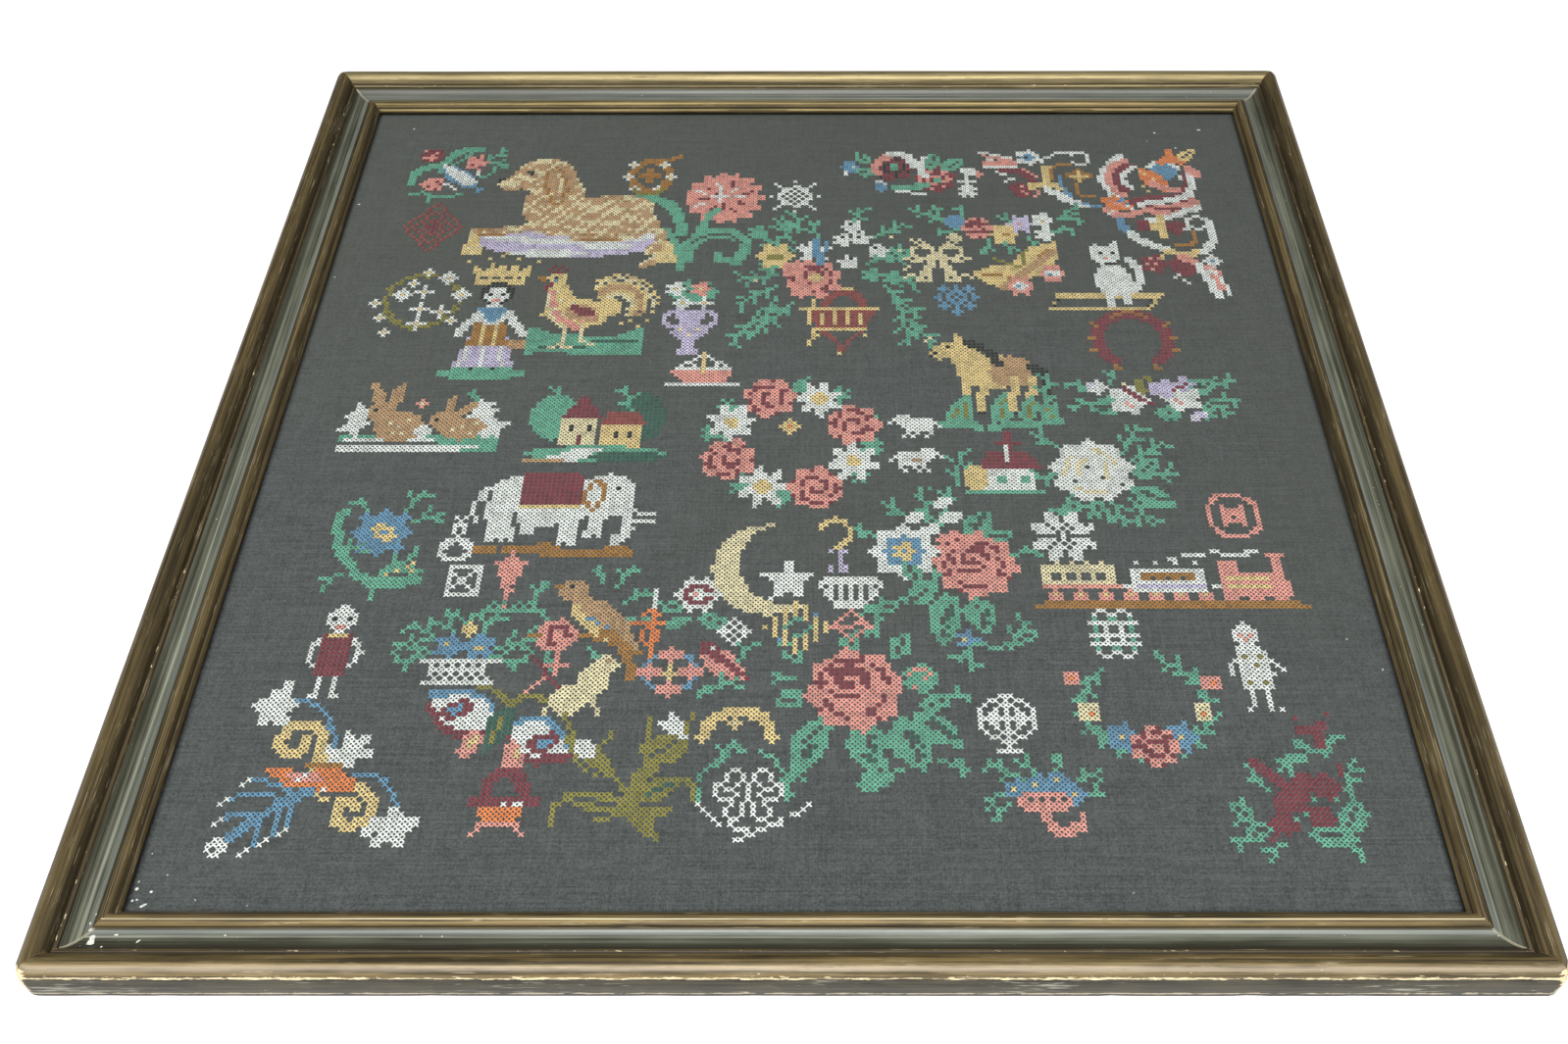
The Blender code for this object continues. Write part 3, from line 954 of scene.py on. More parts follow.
def urn_and_boat(c):
    for angle, length in ((120, 7), (95, 8), (60, 8), (35, 7), (150, 6)):
        c.fern(88, 76, angle, length, 2)
    c.petals(84, 71, 2.4, 5, "white", 0.6)
    c.petals(90, 71, 2.6, 5, "coral", 0.6)
    c.petals(86, 76, 2.2, 4, "white", 0.6)
    c.petals(91, 76, 2, 4, "white", 0.6)
    c.dots("straw", (84, 71), (86, 76), (91, 76), (90, 71))
    c.polygon("lavender", (84.6, 79), (91.6, 79), (90.8, 83), (93, 86), (88.8, 90), (87.2, 90), (83.4, 86),
              (85.4, 83))
    c.arc("lavender", 84.6, 81.5, 2.6, 3, 90, 270)
    c.arc("lavender", 91.4, 81.5, 2.6, 3, 90, -90)
    c.polygon("lavender", (87.4, 89), (88.8, 89), (91, 93.4), (85, 93.4))
    c.dots("ivory", (86, 85), (88, 87), (90, 85))
    c.stroke("white", [(84, 103), (100, 103)])
    c.polygon("coral", (85, 99), (99, 99), (97, 102.4), (88, 102.4))
    c.stroke("straw", [(92, 93), (92, 99)])
    c.stroke("white", [(91, 94), (86, 98), (91, 98)])
    c.stroke("white", [(93, 94), (98, 98), (93, 98)])
    c.dots("white", (89, 96), (90, 97), (95, 97), (95, 96))


def hanging_basket(c):
    """The tall basket of mixed flowers with ferns all around it."""
    for column, row, angle, length in ((112, 57, 150, 12), (112, 54, 120, 10), (108, 66, 190, 9),
                                       (108, 70, 215, 11), (108, 74, 250, 14), (104, 80, 240, 12),
                                       (113, 50, 95, 7), (126, 50, 75, 9), (132, 52, 35, 9), (133, 60, 5, 9),
                                       (133, 66, -20, 9), (134, 70, -55, 14), (137, 76, -80, 14),
                                       (139, 82, -50, 9), (130, 62, 30, 8), (112, 76, 230, 9),
                                       (118, 52, 110, 6)):
        c.fern(column, row, angle, length, 3)
    for column, row in ((106, 63), (131, 66), (136, 67), (103, 50), (110, 48)):
        c.petals(column, row, 2.6, 5, "jade", 0.4)
    c.stroke("straw", [(116, 90), (118, 84), (116, 79), (114, 78)])
    c.polygon("brick", (114.6, 78), (132, 78), (129, 84.6), (118, 84.6))
    for column in range(116, 131, 3):
        c.stroke("straw", [(column, 79), (column + 0.2 * (123 - column) / 3, 83)])
    c.stroke("straw", [(117, 85), (129, 85)])
    c.arc("straw", 123, 78, 6.4, 7.4, 0, 180)
    c.arc("brick", 124, 78, 4.6, 6, 0, 180, 2)
    c.stroke("straw", [(114, 78), (132, 78)])
    c.bend("brick", (119, 86), (123, 88), (123, 92))
    c.bend("brick", (128, 86), (125, 88), (124, 92))
    c.dots("straw", (118, 87), (117, 88), (123, 93), (129, 87))
    c.petals(107.5, 59, 4.6, 6, "straw", 0.7)
    c.blob(107.5, 59.5, 1.6, 1.4, "olive")
    c.great_rose(117, 67.5, 6.8, 15)
    c.blob(117.5, 67, 1.8, 1.5, "straw")
    c.petals(112, 64, 3, 5, "coral", 0.7)
    c.petals(113.5, 71.5, 2.6, 5, "coral", 0.7)
    c.petals(117, 57, 4.6, 5, "white", 0.4, 18)
    c.stroke("blue", [(117, 53), (118, 61)], 2)
    c.stroke("blue", [(120, 54), (119, 60)])
    for column, row in ((124, 53), (128.5, 52.5), (126.5, 48), (132.5, 57), (125.5, 61.5)):
        c.petals(column, row, 2.5, 5, "white", 0.66, 18 * column)
        c.stitch(column, row - 1, "black")
    c.petals(138, 57, 2, 4, "jade", 0.5)
    c.dots("ivory", (138, 57), (103, 68), (136, 52), (144, 88), (143, 89), (139, 64), (140, 63))


def scroll_corner(c):
    """Scrolls, buds and an open tulip that fill the upper right corner."""
    for step, yarn in enumerate(("white", "coral", "white", "burgundy")):
        c.stroke(yarn, [(160 + step, 18 + 1.4 * step), (168 - step * 0.4, 20 + 1.3 * step)])
    c.blob(165, 22.4, 4.4, 1.4, "coral")
    c.blob(165, 24, 4, 0.9, "white")
    c.petals(172.5, 20, 3.2, 5, "white", 0.7)
    c.blob(172.5, 20, 1.6, 1.2, "blue")
    c.stitch(172, 20, "black")
    c.bend("burgundy", (165, 25), (171, 24), (173, 30), 2)
    c.bend("coral", (171, 25), (173, 27), (174, 28))
    c.dots("white", (164, 26), (165, 27), (166, 27), (166, 30), (167, 29), (168, 29))
    c.blob(169.5, 33.5, 2.4, 3.4, "burgundy", 30)
    c.dots("coral", (170, 32), (170, 34), (171, 35), (174, 35), (173, 36), (174, 34))
    c.bend("straw", (172, 32), (176, 30), (179, 32), 2)
    c.bend("white", (176, 32), (180, 38), (185, 39), 2)
    c.stroke("blue", [(185, 39), (189, 40)])
    c.bend("blue", (180, 28), (180, 33), (182, 36))
    c.bend("white", (176, 28), (174, 18), (184, 17.5))
    c.arc("white", 186, 20.5, 2.4, 2.6, 140, -140)
    c.bend("straw", (177, 31), (175, 27), (177, 24), 2)
    c.bend("amber", (178, 29), (177, 22), (183, 23))
    c.petals(185, 27.5, 3.2, 4, "amber", 0.5)
    c.petals(185, 28, 2, 4, "straw", 0.5)
    c.stroke("amber", [(184, 31), (184, 35)])
    c.bend("amber", (184, 35), (186, 37), (188, 36))
    for yarn, spread, width in (("white", 11.4, 2), ("coral", 9.6, 2), ("burgundy", 7.6, 2),
                                ("white", 5.8, 1.6)):
        c.arc(yarn, 202, 29, spread, 0.92 * spread, 118, 222, width)
    for yarn, spread in (("burgundy", 10), ("white", 11.6), ("coral", 13)):
        c.arc(yarn, 203, 28.6, 0.92 * spread, 0.92 * spread, -60 if yarn != "coral" else -100,
              8 if yarn != "coral" else -40, 2)
    c.blob(207, 26, 3.2, 3.2, "blue")
    c.arc("white", 207, 26, 4.2, 4, 20, 150)
    c.dots("white", (211, 28), (211, 29), (204, 23), (209, 23))
    c.leaf(201, 25, -55, 12, 5, "orange", "orange")
    c.bend("coral", (203, 30), (205, 33), (209, 33), 2)
    c.dots("straw", (201, 26), (202, 27), (201, 32), (202, 34), (204, 29))
    c.petals(209.5, 20.5, 4, 3, "orange", 0.3, 210)
    c.leaf(212, 21, 45, 6, 3, "straw")
    c.leaf(213, 24, -50, 6, 2.4, "coral")
    c.bend("burgundy", (197, 38), (203, 35), (210, 37), 2)
    c.bend("white", (199, 39), (206, 38), (212, 35), 2)
    c.bend("coral", (200, 41), (207, 44), (213, 38), 2)
    c.bend("burgundy", (201, 40), (206, 42), (210, 41))
    c.bend("white", (200, 45), (206, 45), (213, 40), 2)
    c.leaf(190, 37, -30, 9, 5, "orange", "coral")
    c.bend("coral", (190, 41), (194, 45), (198, 42), 2)
    c.dots("white", (191, 43), (192, 42), (196, 40), (197, 41))
    c.dots("blue", (194, 38), (195, 38), (196, 39), (195, 37))
    c.bend("blue", (193, 45), (193, 48), (195, 50), 2)
    c.bend("white", (195, 50), (198, 55), (203, 56), 2)
    c.bend("straw", (203, 57), (208, 59), (212, 57), 2)
    c.bend("white", (212, 57), (217, 53), (215, 46), 2)
    c.arc("white", 212.5, 46.5, 2.4, 2.2)
    c.petals(203.5, 48, 4, 4, "straw", 0.4)
    c.blob(207, 48.4, 2.4, 2.6, "burgundy")
    c.blob(199, 47.4, 1.8, 2, "burgundy")
    c.bend("amber", (206, 55), (212, 56), (211, 50))
    c.dots("white", (209, 49), (210, 49))
    c.petals(199.5, 62, 3.6, 5, "burgundy", 0.6)
    c.dots("coral", (199, 60), (198, 62), (199, 64), (200, 62), (201, 60))
    c.dots("straw", (202, 60), (203, 58), (202, 59))
    c.blob(206.5, 63, 3, 3.4, "burgundy", 30)
    c.bend("coral", (206, 59), (211, 62), (212, 66), 2)
    c.bend("white", (210, 62), (212, 68), (213, 73), 2)
    c.bend("coral", (213, 63), (215, 68), (214, 70), 2)
    c.bend("white", (213, 64), (216, 68), (216, 73))
    c.petals(214, 61, 2.6, 4, "white", 0.5)
    c.stitch(214, 61, "blue")
    c.dots("white", (204, 67), (205, 66), (206, 68), (207, 69))


def garlands(c):
    """Two loose garlands and the cream bow between them."""
    for column, row, angle, length in ((150, 46, 150, 10), (149, 46, 110, 6), (178, 45, 40, 7),
                                       (178, 45, -5, 6), (176, 50, 10, 5), (160, 53, -100, 5),
                                       (164, 54, -70, 4), (170, 52, -70, 5), (153, 49, 200, 5),
                                       (154, 44, 90, 4), (166, 47, 110, 4)):
        c.fern(column, row, angle, length, 2)
    c.blob(152, 46, 2.2, 2.4, "blue")
    c.rose(157.5, 48.5, 4, "coral", "burgundy", 0, 6)
    c.petals(164, 51, 3.6, 6, "straw", 0.6)
    c.petals(168.5, 47, 3.4, 6, "lavender", 0.6)
    c.petals(174, 45.5, 3, 5, "white", 0.6)
    c.petals(174, 51, 2.4, 5, "white", 0.6)
    c.petals(151.5, 52, 1.8, 4, "ivory", 0.6)
    c.dots("straw", (174, 46), (164, 48))
    c.dots("amber", (164, 51), (165, 51))
    c.dots("coral", (168, 47))
    for way in (-1, 1):
        c.arc("ivory", 147 + 3.6 * way, 57.6, 2.6, 2.2)
        c.stroke("ivory", [(147, 58), (147 + 4 * way, 53)])
        c.stroke("ivory", [(147 + 5 * way, 54), (147 + 6 * way, 53)])
        c.stroke("ivory", [(147, 59), (147 + 5 * way, 61), (147 + 8 * way, 60)])
        c.polygon("ivory", (147 + 0.6 * way, 60), (147 + 1.6 * way, 60), (147 + 6 * way, 68.6),
                  (147 + 1.6 * way, 68.6))
        c.stroke("ivory", [(147 + 6 * way, 66), (147 + 8 * way, 67)])
        c.stitch(147 + 3 * way, 67, None)
    c.blob(147, 59, 1.4, 1.4, "ivory")
    for column, row, angle, length in ((181, 105, 160, 7), (182, 108, 195, 8), (184, 103, 75, 4),
                                       (205, 104, 20, 7), (206, 108, 0, 6), (205, 109, -35, 6),
                                       (203, 109, -60, 5)):
        c.fern(column, row, angle, length, 2)
    c.leaf(191, 106, 75, 6, 4, "olive")
    c.leaf(187, 109, 190, 9, 5)
    c.leaf(196, 110, -100, 5, 5)
    c.leaf(201, 105, 20, 7, 5)
    c.petals(187.5, 108, 4.6, 5, "white", 0.7)
    c.petals(199.5, 107.5, 4.4, 5, "white", 0.7, 30)
    c.petals(195.5, 104.5, 3.2, 5, "lavender", 0.7)
    c.petals(200.5, 103, 2.4, 4, "lavender", 0.6)
    c.petals(180.5, 104, 2.8, 5, "white", 0.6)
    c.dots("lavender", (179, 104), (180, 103), (202, 112), (203, 113), (202, 114), (201, 113), (203, 112),
           (204, 113))
    c.dots("white", (201, 114), (202, 113), (204, 112))
    c.bend("burgundy", (187, 104), (189, 108), (193, 109))
    c.dots("coral", (188, 110), (187, 109), (198, 108), (199, 109))
    c.dots("burgundy", (198, 105), (199, 104), (200, 104), (201, 103))
    c.stitch(187, 103, "ivory")


def moth_and_cat(c):
    """A gold moth, and a white cat sitting on a straw rug."""
    c.leaf(167, 66, 52, 15, 9, "straw", "amber")
    c.leaf(169, 67, 175, 14, 8, "straw", "amber")
    c.stroke("tan", [(162, 70), (175, 57)], 2)
    c.petals(166.5, 70, 3.2, 6, "coral", 0.8)
    c.petals(174.5, 65.5, 3.2, 6, "coral", 0.8)
    for column, row in ((166.5, 70), (174.5, 65.5)):
        c.blob(column, row, 1.6, 1.4, "white")
        c.stitch(column, row, "blue")
    c.bend("olive", (167, 63), (163, 62), (161, 60))
    c.bend("olive", (168, 62), (167, 59), (169, 57))
    c.stroke("straw", [(175, 73), (200, 73), (196, 78), (173, 78), (176, 73)], 1)
    c.stroke("straw", [(176, 74), (198, 74)])
    c.dots("black", (175, 75), (174, 77), (197, 75), (196, 77))
    c.blob(189, 68, 4.6, 5.6, "white")
    c.blob(188, 59, 3.6, 3.2, "white")
    c.polygon("white", (184.6, 58), (185.4, 53.6), (187.4, 56.6))
    c.polygon("white", (188.8, 56.6), (191, 53.6), (191.4, 58))
    c.bend("white", (193, 71), (198, 66), (193, 60), 2)
    c.stroke("white", [(187, 70), (187, 76)], 2)
    c.stroke("white", [(191, 70), (191, 75)], 2)
    c.dots("black", (187, 58), (190, 58), (188, 62), (189, 62), (190, 62))
    c.stitch(188, 60, "coral")


def horseshoe_and_foal(c):
    c.arc("burgundy", 191, 88.5, 8.2, 8.6, -52, 232, 3)
    c.arc("amber", 191, 88.5, 8.6, 9.2, 60, 120)
    for angle in (-20, 5, 30, 150, 175, 200):
        way = radians(angle)
        c.dots("amber", (191 + 9.4 * cos(way), 88.5 - 9.8 * sin(way)),
               (191 + 10.4 * cos(way), 88.5 - 10.8 * sin(way)))
    c.dots("amber", (186, 97), (187, 98), (186, 98), (195, 97), (196, 98), (195, 98))
    c.blob(158, 99, 8.5, 5.2, "straw")
    c.blob(162, 99, 5, 5, "tan")
    c.polygon("straw", (150, 99), (147, 90), (152, 88), (158, 97))
    c.blob(148, 92, 4.4, 2.6, "straw", 25)
    c.polygon("straw", (150, 90), (150, 86), (153, 89))
    c.bend("black", (152, 89), (157, 91), (159, 96), 2)
    c.dots("black", (148, 91), (144, 94), (145, 93))
    c.bend("black", (166, 97), (171, 99), (169, 106), 2)
    for column in (151.5, 155, 162, 166):
        c.stroke("straw", [(column, 101), (column - 0.6, 111)], 2)
        c.dots("black", (column - 0.6, 112), (column + 0.4, 112))
    for column, angle in ((147, 60), (151, 90), (157, 70), (160, 110), (164, 75), (168, 60), (170, 100)):
        c.leaf(column, 115, angle, 6 + (column * 7) % 5, 3.4, "jade", "olive")
    c.bend("jade", (145, 115), (158, 117), (171, 114), 2)
    c.fern(168, 112, 80, 12, 3)


def hares_and_cottages(c):
    """Two hares on a bank, a cottage among trees and a small chapel."""
    c.polygon("jade", (14, 118), (49, 119), (49, 124), (36, 123), (36, 121), (14, 121))
    c.stroke("white", [(14, 122), (44, 122)])
    c.stroke("white", [(14, 123), (40, 123)])
    c.stroke("white", [(15, 120), (34, 120)])
    for column, row in ((17, 112), (16, 116), (44, 112), (47, 116), (43, 110)):
        c.petals(column, row, 3, 4, "white", 0.4, 20)
    c.fern(42, 109, 100, 4, 2)
    c.blob(26, 116, 5.4, 4.4, "tan")
    c.blob(21.5, 111.5, 3.4, 3, "tan")
    c.leaf(21, 110, 110, 8, 2.4, "tan")
    c.leaf(23, 110, 75, 8, 2.4, "tan")
    c.dots("ivory", (24, 115), (26, 116), (28, 114), (25, 118), (27, 118))
    c.blob(31.5, 117.4, 2, 1.8, "white")
    c.blob(40, 116.6, 5.4, 3.4, "tan")
    c.blob(35.6, 114, 2.8, 2.6, "tan")
    c.leaf(36, 112, 80, 6, 2, "tan")
    c.leaf(38, 113, 45, 6, 2, "tan")
    c.dots("ivory", (40, 116), (42, 118), (43, 115), (38, 117))
    c.blob(45.6, 118, 1.6, 1.4, "white")
    c.dots("black", (20, 111), (34, 114))
    c.rows(29, 108, (" p ", "pip", " p "))
    c.blob(60, 113, 5.4, 7, "jade")
    c.blob(79, 113, 5.4, 7.4, "forest")
    c.fern(59, 112, 80, 8, 3)
    c.fern(77, 112, 105, 8, 3)
    c.polygon("burgundy", (61, 114), (66, 106), (71, 114))
    c.polygon("ivory", (62, 114), (70, 114), (70, 122), (62, 122))
    c.polygon("brick", (70, 116), (72, 112), (79, 112), (81, 116))
    c.polygon("straw", (71, 116), (80, 116), (80, 123), (71, 123))
    c.dots("black", (64, 116), (64, 117), (68, 116), (68, 117), (74, 118), (77, 118), (74, 119), (77, 119))
    c.stroke("burgundy", [(66, 119), (66, 121)])
    c.blob(70, 124, 15, 2.2, "jade")
    c.blob(77, 125, 8, 1.8, "forest")
    c.polygon("white", (66, 122.6), (72, 122.6), (66, 126.6), (55, 126.6))
    c.stroke("tan", [(55, 126), (63, 126)])
    c.stroke("jade", [(150, 135), (166, 135)])
    c.polygon("white", (154, 129), (165, 129), (165, 134.6), (154, 134.6))
    c.polygon("burgundy", (152, 129), (155, 124), (164, 124), (167, 129))
    c.stroke("burgundy", [(159.5, 118), (159.5, 124)], 2)
    c.stroke("burgundy", [(157, 121), (162, 121)])
    c.stroke("white", [(159, 122), (159, 126)])
    c.dots("jade", (157, 131), (158, 131), (157, 132), (158, 132), (162, 131), (163, 131), (162, 132),
           (163, 132))
    c.blob(152, 131, 2.6, 3.4, "straw")
    c.fern(148, 133, 85, 9, 3)


def wreath(c):
    """Daisies and roses in turn around a ring of leaves."""
    for step in range(24):
        way = radians(15 * step)
        c.fern(112.5 + 14.5 * cos(way), 120 - 13.5 * sin(way), 15 * step + (40 if step % 2 else -30), 6, 2)
    for step in range(8):
        way = radians(45 * step + 21)
        column, row = 112.5 + 14.6 * cos(way), 120.5 - 14.2 * sin(way)
        if step % 2:
            c.daisy(column, row, 5.6, 7, "white", "straw", 20 * step)
        else:
            c.rose(column, row, 6, "coral", "burgundy", 30 * step)


def sheep(c):
    for row in (113, 123):
        c.rows(134, row, ("  www       ", " wwwwwwwww  ", "w wwwwwwwww ", "   wwwwwww w", "    wwwwww  ",
                          "    w w  w  ", "   w w  w   "), row > 120)
    c.dots("tan", (140, 126), (139, 126))


def white_rose(c):
    for column, row, angle, length in ((184, 124, 60, 9), (186, 126, 35, 9), (187, 131, 10, 8),
                                       (172, 136, 240, 6), (180, 137, 290, 7), (170, 122, 140, 6),
                                       (184, 137, -60, 8), (178, 138, 200, 8), (170, 130, 190, 5)):
        c.fern(column, row, angle, length, 3)
    c.leaf(185, 134, -30, 10, 5)
    c.leaf(186, 130, 35, 7, 4)
    c.leaf(176, 138, -60, 6, 3)
    c.petals(177, 129, 9, 9, "white", 0.86, 10)
    for reach, start, end in ((5.8, 20, 80), (5.6, 130, 190), (6, 230, 290), (3.4, -40, 40),
                              (3.2, 100, 200)):
        c.arc("ivory", 177, 129, reach, reach, start, end)
    c.dots(None, (169, 126), (183, 133), (178, 137), (176, 128), (179, 131), (173, 132))


def elephant(c):
    c.blob(60, 137, 12.6, 7.2, "white")
    c.polygon("white", (48, 136), (54, 136), (55.4, 148.4), (50, 148.4))
    c.polygon("white", (55.6, 140), (61, 140), (59.4, 146.4), (56, 146.4))
    c.polygon("white", (64, 138), (69.4, 138), (68.4, 149.4), (64.4, 149.4))
    c.polygon("white", (69.6, 138), (74, 138), (73.4, 147.4), (70, 147.4))
    c.stroke(None, [(55.4, 141), (55.6, 147)])
    c.stroke(None, [(69.6, 142), (69.4, 148)])
    c.blob(74, 136, 5.8, 6, "white")
    c.bend("white", (77, 138), (80.5, 146), (76, 148), 2)
    c.dots("white", (79, 146), (79, 145), (80, 145), (79, 140), (79, 141), (79, 142), (80, 143))
    c.bend("white", (78, 139), (80, 141), (84, 141))
    c.bend("white", (78, 142), (80, 143), (84, 143))
    c.bend("white", (48, 134), (45, 138), (47, 143))
    c.stroke(None, [(49, 135), (48, 141)])
    c.polygon("burgundy", (56, 130), (68, 130), (69, 139.6), (55, 139.6))
    c.stroke("straw", [(56, 139), (68, 139)])
    c.bend("amber", (71, 132), (67.6, 137), (71, 140))
    c.bend("amber", (71, 132), (75, 134), (72, 139))
    c.stitch(76, 134, "black")
    c.dots(None, (52, 148), (54, 148), (66, 149), (72, 147))
    c.bend("amber", (48, 150), (62, 151), (79, 151), 2)
    c.blob(62, 150, 3, 1.3, "amber")
    c.blob(77, 150.6, 3, 1.2, "amber")


def small_motifs_left(c):
    c.bend("white", (43, 142), (47, 145), (42, 150))
    c.bend("white", (45, 142), (41, 145), (46, 150))
    c.arc("white", 44, 150.5, 3, 2.6)
    c.stroke("white", [(43.6, 155), (50, 155), (50, 162), (43.6, 162), (43.6, 155)])
    c.stroke("white", [(45, 160), (49, 156)])
    c.stroke("white", [(45, 157), (49, 161)])
    c.petals(28, 146, 6.6, 8, "blue", 0.7)
    c.blob(28.5, 146, 2.8, 1.8, "straw", -35)
    c.blob(28.5, 146, 1.2, 0.8, "blue", -35)
    c.bend("jade", (19, 140), (17, 148), (24, 156), 2)
    c.bend("jade", (24, 156), (30, 162), (37, 158), 2)
    c.stroke("jade", [(28, 158), (29, 163)])
    for column, row, angle, length in ((32, 140, 60, 6), (34, 143, 20, 6), (20, 152, 30, 6),
                                       (30, 156, 30, 7), (24, 140, 120, 4), (22, 157, 200, 4)):
        c.fern(column, row, angle, length, 3)
    c.leaf(29, 158, 12, 10, 4)
    c.dots("straw", (33, 156), (35, 155), (36, 156), (31, 157), (36, 154))
    c.stroke("coral", [(56, 151), (56, 165)])
    c.rows(53, 152, ("   p   ", "  ppp  ", "ppppppp", " ppppp ", " ppppp ", " pp pp ", "  ppp  ", "  ppp  ",
                     "  p    ", "   pp  "))
    c.stroke("jade", [(52, 166), (61, 166)])
    for column in (53, 55, 58, 60):
        c.stroke("jade", [(column, 166), (column + 0.7, 164)])


def moon_and_star(c):
    c.blob(108.5, 155.5, 11.4, 11.4, "ivory")
    c.blob(113, 154, 10.6, 10.6, None)
    star = []
    for step in range(10):
        reach = 6.4 if step % 2 == 0 else 2.6
        way = radians(90 + 36 * step)
        star.append((112.4 + reach * cos(way), 158.6 - reach * sin(way)))
    c.polygon("white", *star)
    c.bend("straw", (119, 145), (122, 140), (125, 145))
    c.bend("straw", (125, 145), (126, 148), (122, 150))
    c.stroke("lavender", [(122.6, 151), (122.6, 156)])
    c.dots("lavender", (121, 151), (124, 151), (121, 155), (124, 155), (123, 151), (121, 156), (124, 156))
    c.stroke("white", [(120, 158), (130, 158)])
    c.stroke("white", [(119, 159), (131, 159)])
    c.stroke("white", [(119, 160), (122, 164), (128, 164), (131, 160)])
    for column in range(121, 130, 2):
        c.stroke("white", [(column, 160), (column + 0.4, 163)])
    c.stroke("white", [(122, 165), (128, 165)])


def garden_roses(c):
    """The white and blue bloom, the coral rose beside it and the great rose below."""
    for column, row, angle, length in ((141, 143, 95, 9), (143, 146, 75, 12), (137, 142, 140, 6),
                                       (131, 147, 160, 5), (141, 154, -80, 6), (158, 152, 15, 6),
                                       (133, 166, 185, 6), (136, 163, 200, 7), (131, 168, 230, 5)):
        c.fern(column, row, angle, length, 2)
    c.leaf(149, 147, 50, 9, 5)
    c.leaf(152, 148, 15, 7, 3)
    c.petals(136, 151, 7, 8, "white", 0.76)
    c.petals(136, 151, 4.6, 8, "blue", 0.7)
    c.petals(136, 151, 2.4, 5, "straw", 0.7)
    c.stitch(136, 151, "blue")
    for column, row in ((138.5, 142), (144.5, 138), (146, 142), (141.5, 145.5)):
        c.blob(column, row, 2.4, 1.5, "white", 20)
    c.great_rose(150.5, 154.5, 8.6, 40)
    c.petals(146, 149, 3.4, 5, "coral", 0.8)
    c.dots("burgundy", (145, 149), (147, 148), (146, 151))
    for column, row, angle, length, width in ((142, 160, 215, 8, 4), (144, 162, 265, 13, 6),
                                              (150, 163, 280, 9, 6), (139, 159, 120, 6, 3),
                                              (146, 163, 240, 9, 5)):
        c.leaf(column, row, angle, length, width)
    c.petals(147.5, 173, 2.4, 5, "blue", 0.5)
    c.dots("straw", (147, 173))
    c.bend("jade", (149, 174), (155, 176), (161, 172))
    c.fern(156, 175, 60, 7, 3)
    c.fern(149, 174, 230, 5, 2)
    c.fern(148, 176, 270, 4, 2)
    for column, row, angle, length, width in ((118, 192, 255, 11, 6), (121, 191, 225, 9, 4),
                                              (128, 192, 265, 10, 7), (134, 191, 290, 12, 8),
                                              (137, 190, 320, 11, 5), (116, 186, 195, 6, 4),
                                              (133, 177, 60, 6, 4), (131, 200, 240, 8, 4),
                                              (115, 178, 130, 6, 3), (138, 188, 10, 6, 3),
                                              (125, 176, 100, 5, 3)):
        c.leaf(column, row, angle, length, width)
    for column, row, angle, length in ((141, 200, -20, 5), (142, 186, 5, 5), (116, 200, 240, 7),
                                       (134, 202, 200, 8), (114, 182, 170, 4)):
        c.fern(column, row, angle, length, 2)
    c.great_rose(125.5, 184.5, 9.6, 10)
    c.petals(138, 182, 3.4, 5, "jade", 0.8)
    c.dots("coral", (137, 180), (138, 180), (139, 180), (136, 181), (139, 182), (137, 184), (140, 181))


def snow_star(c):
    c.rows(163, 141, ("   ww   ww   ", "   www www   ", "   www www   ", "www www www w", "wwww w w wwww",
                      " wwww w wwww ", "      w      ", " wwww w wwww ", "wwww w w wwww", "www www www w",
                      "   www www   ", "   www www   ", "   ww   ww   "))


def little_train(c):
    """An engine and two trucks on a brown rail."""
    c.stroke("amber", [(162, 165), (216, 165)])
    c.stroke("amber", [(164, 164), (214, 164)])
    for column in range(166, 213, 5):
        c.blob(column, 162.4, 1.6, 1.4, "coral")
        c.stitch(column, 162, "straw")
    c.polygon("ivory", (164, 155), (179, 155), (179, 160.6), (164, 160.6))
    c.stroke("coral", [(164, 160), (179, 160)])
    for column in (166, 169, 172, 175):
        c.dots(None, (column, 157), (column + 1, 157), (column, 158), (column + 1, 158))
        c.stitch(column + 1, 154, "ivory")
    c.polygon("white", (182, 156), (197, 156), (197, 161.6), (182, 161.6))
    c.polygon("amber", (184, 156.6), (195, 156.6), (195, 158.6), (184, 158.6))
    c.dots(None, (186, 158), (189, 158), (192, 158))
    c.stroke("lavender", [(183, 160), (196, 160)])
    c.dots("white", (183, 154), (187, 154), (191, 154), (195, 154), (180, 160), (181, 160), (198, 160),
           (199, 160))
    c.polygon("coral", (200, 157), (212, 157), (214, 159), (214, 162.6), (200, 162.6))
    c.stroke("straw", [(201, 158), (209, 158)])
    c.stroke("straw", [(201, 160), (209, 160)])
    c.polygon("coral", (199.6, 154), (204, 154), (204, 158), (199.6, 158))
    c.stroke("coral", [(211, 152), (211, 157)], 2)
    c.dots("coral", (210, 152), (213, 152))
    c.stroke("white", [(208, 151), (203, 152), (199, 151)])
    c.stroke("white", [(197, 152), (193, 152)])
    c.dots("white", (191, 153), (190, 153), (206, 152), (205, 152))


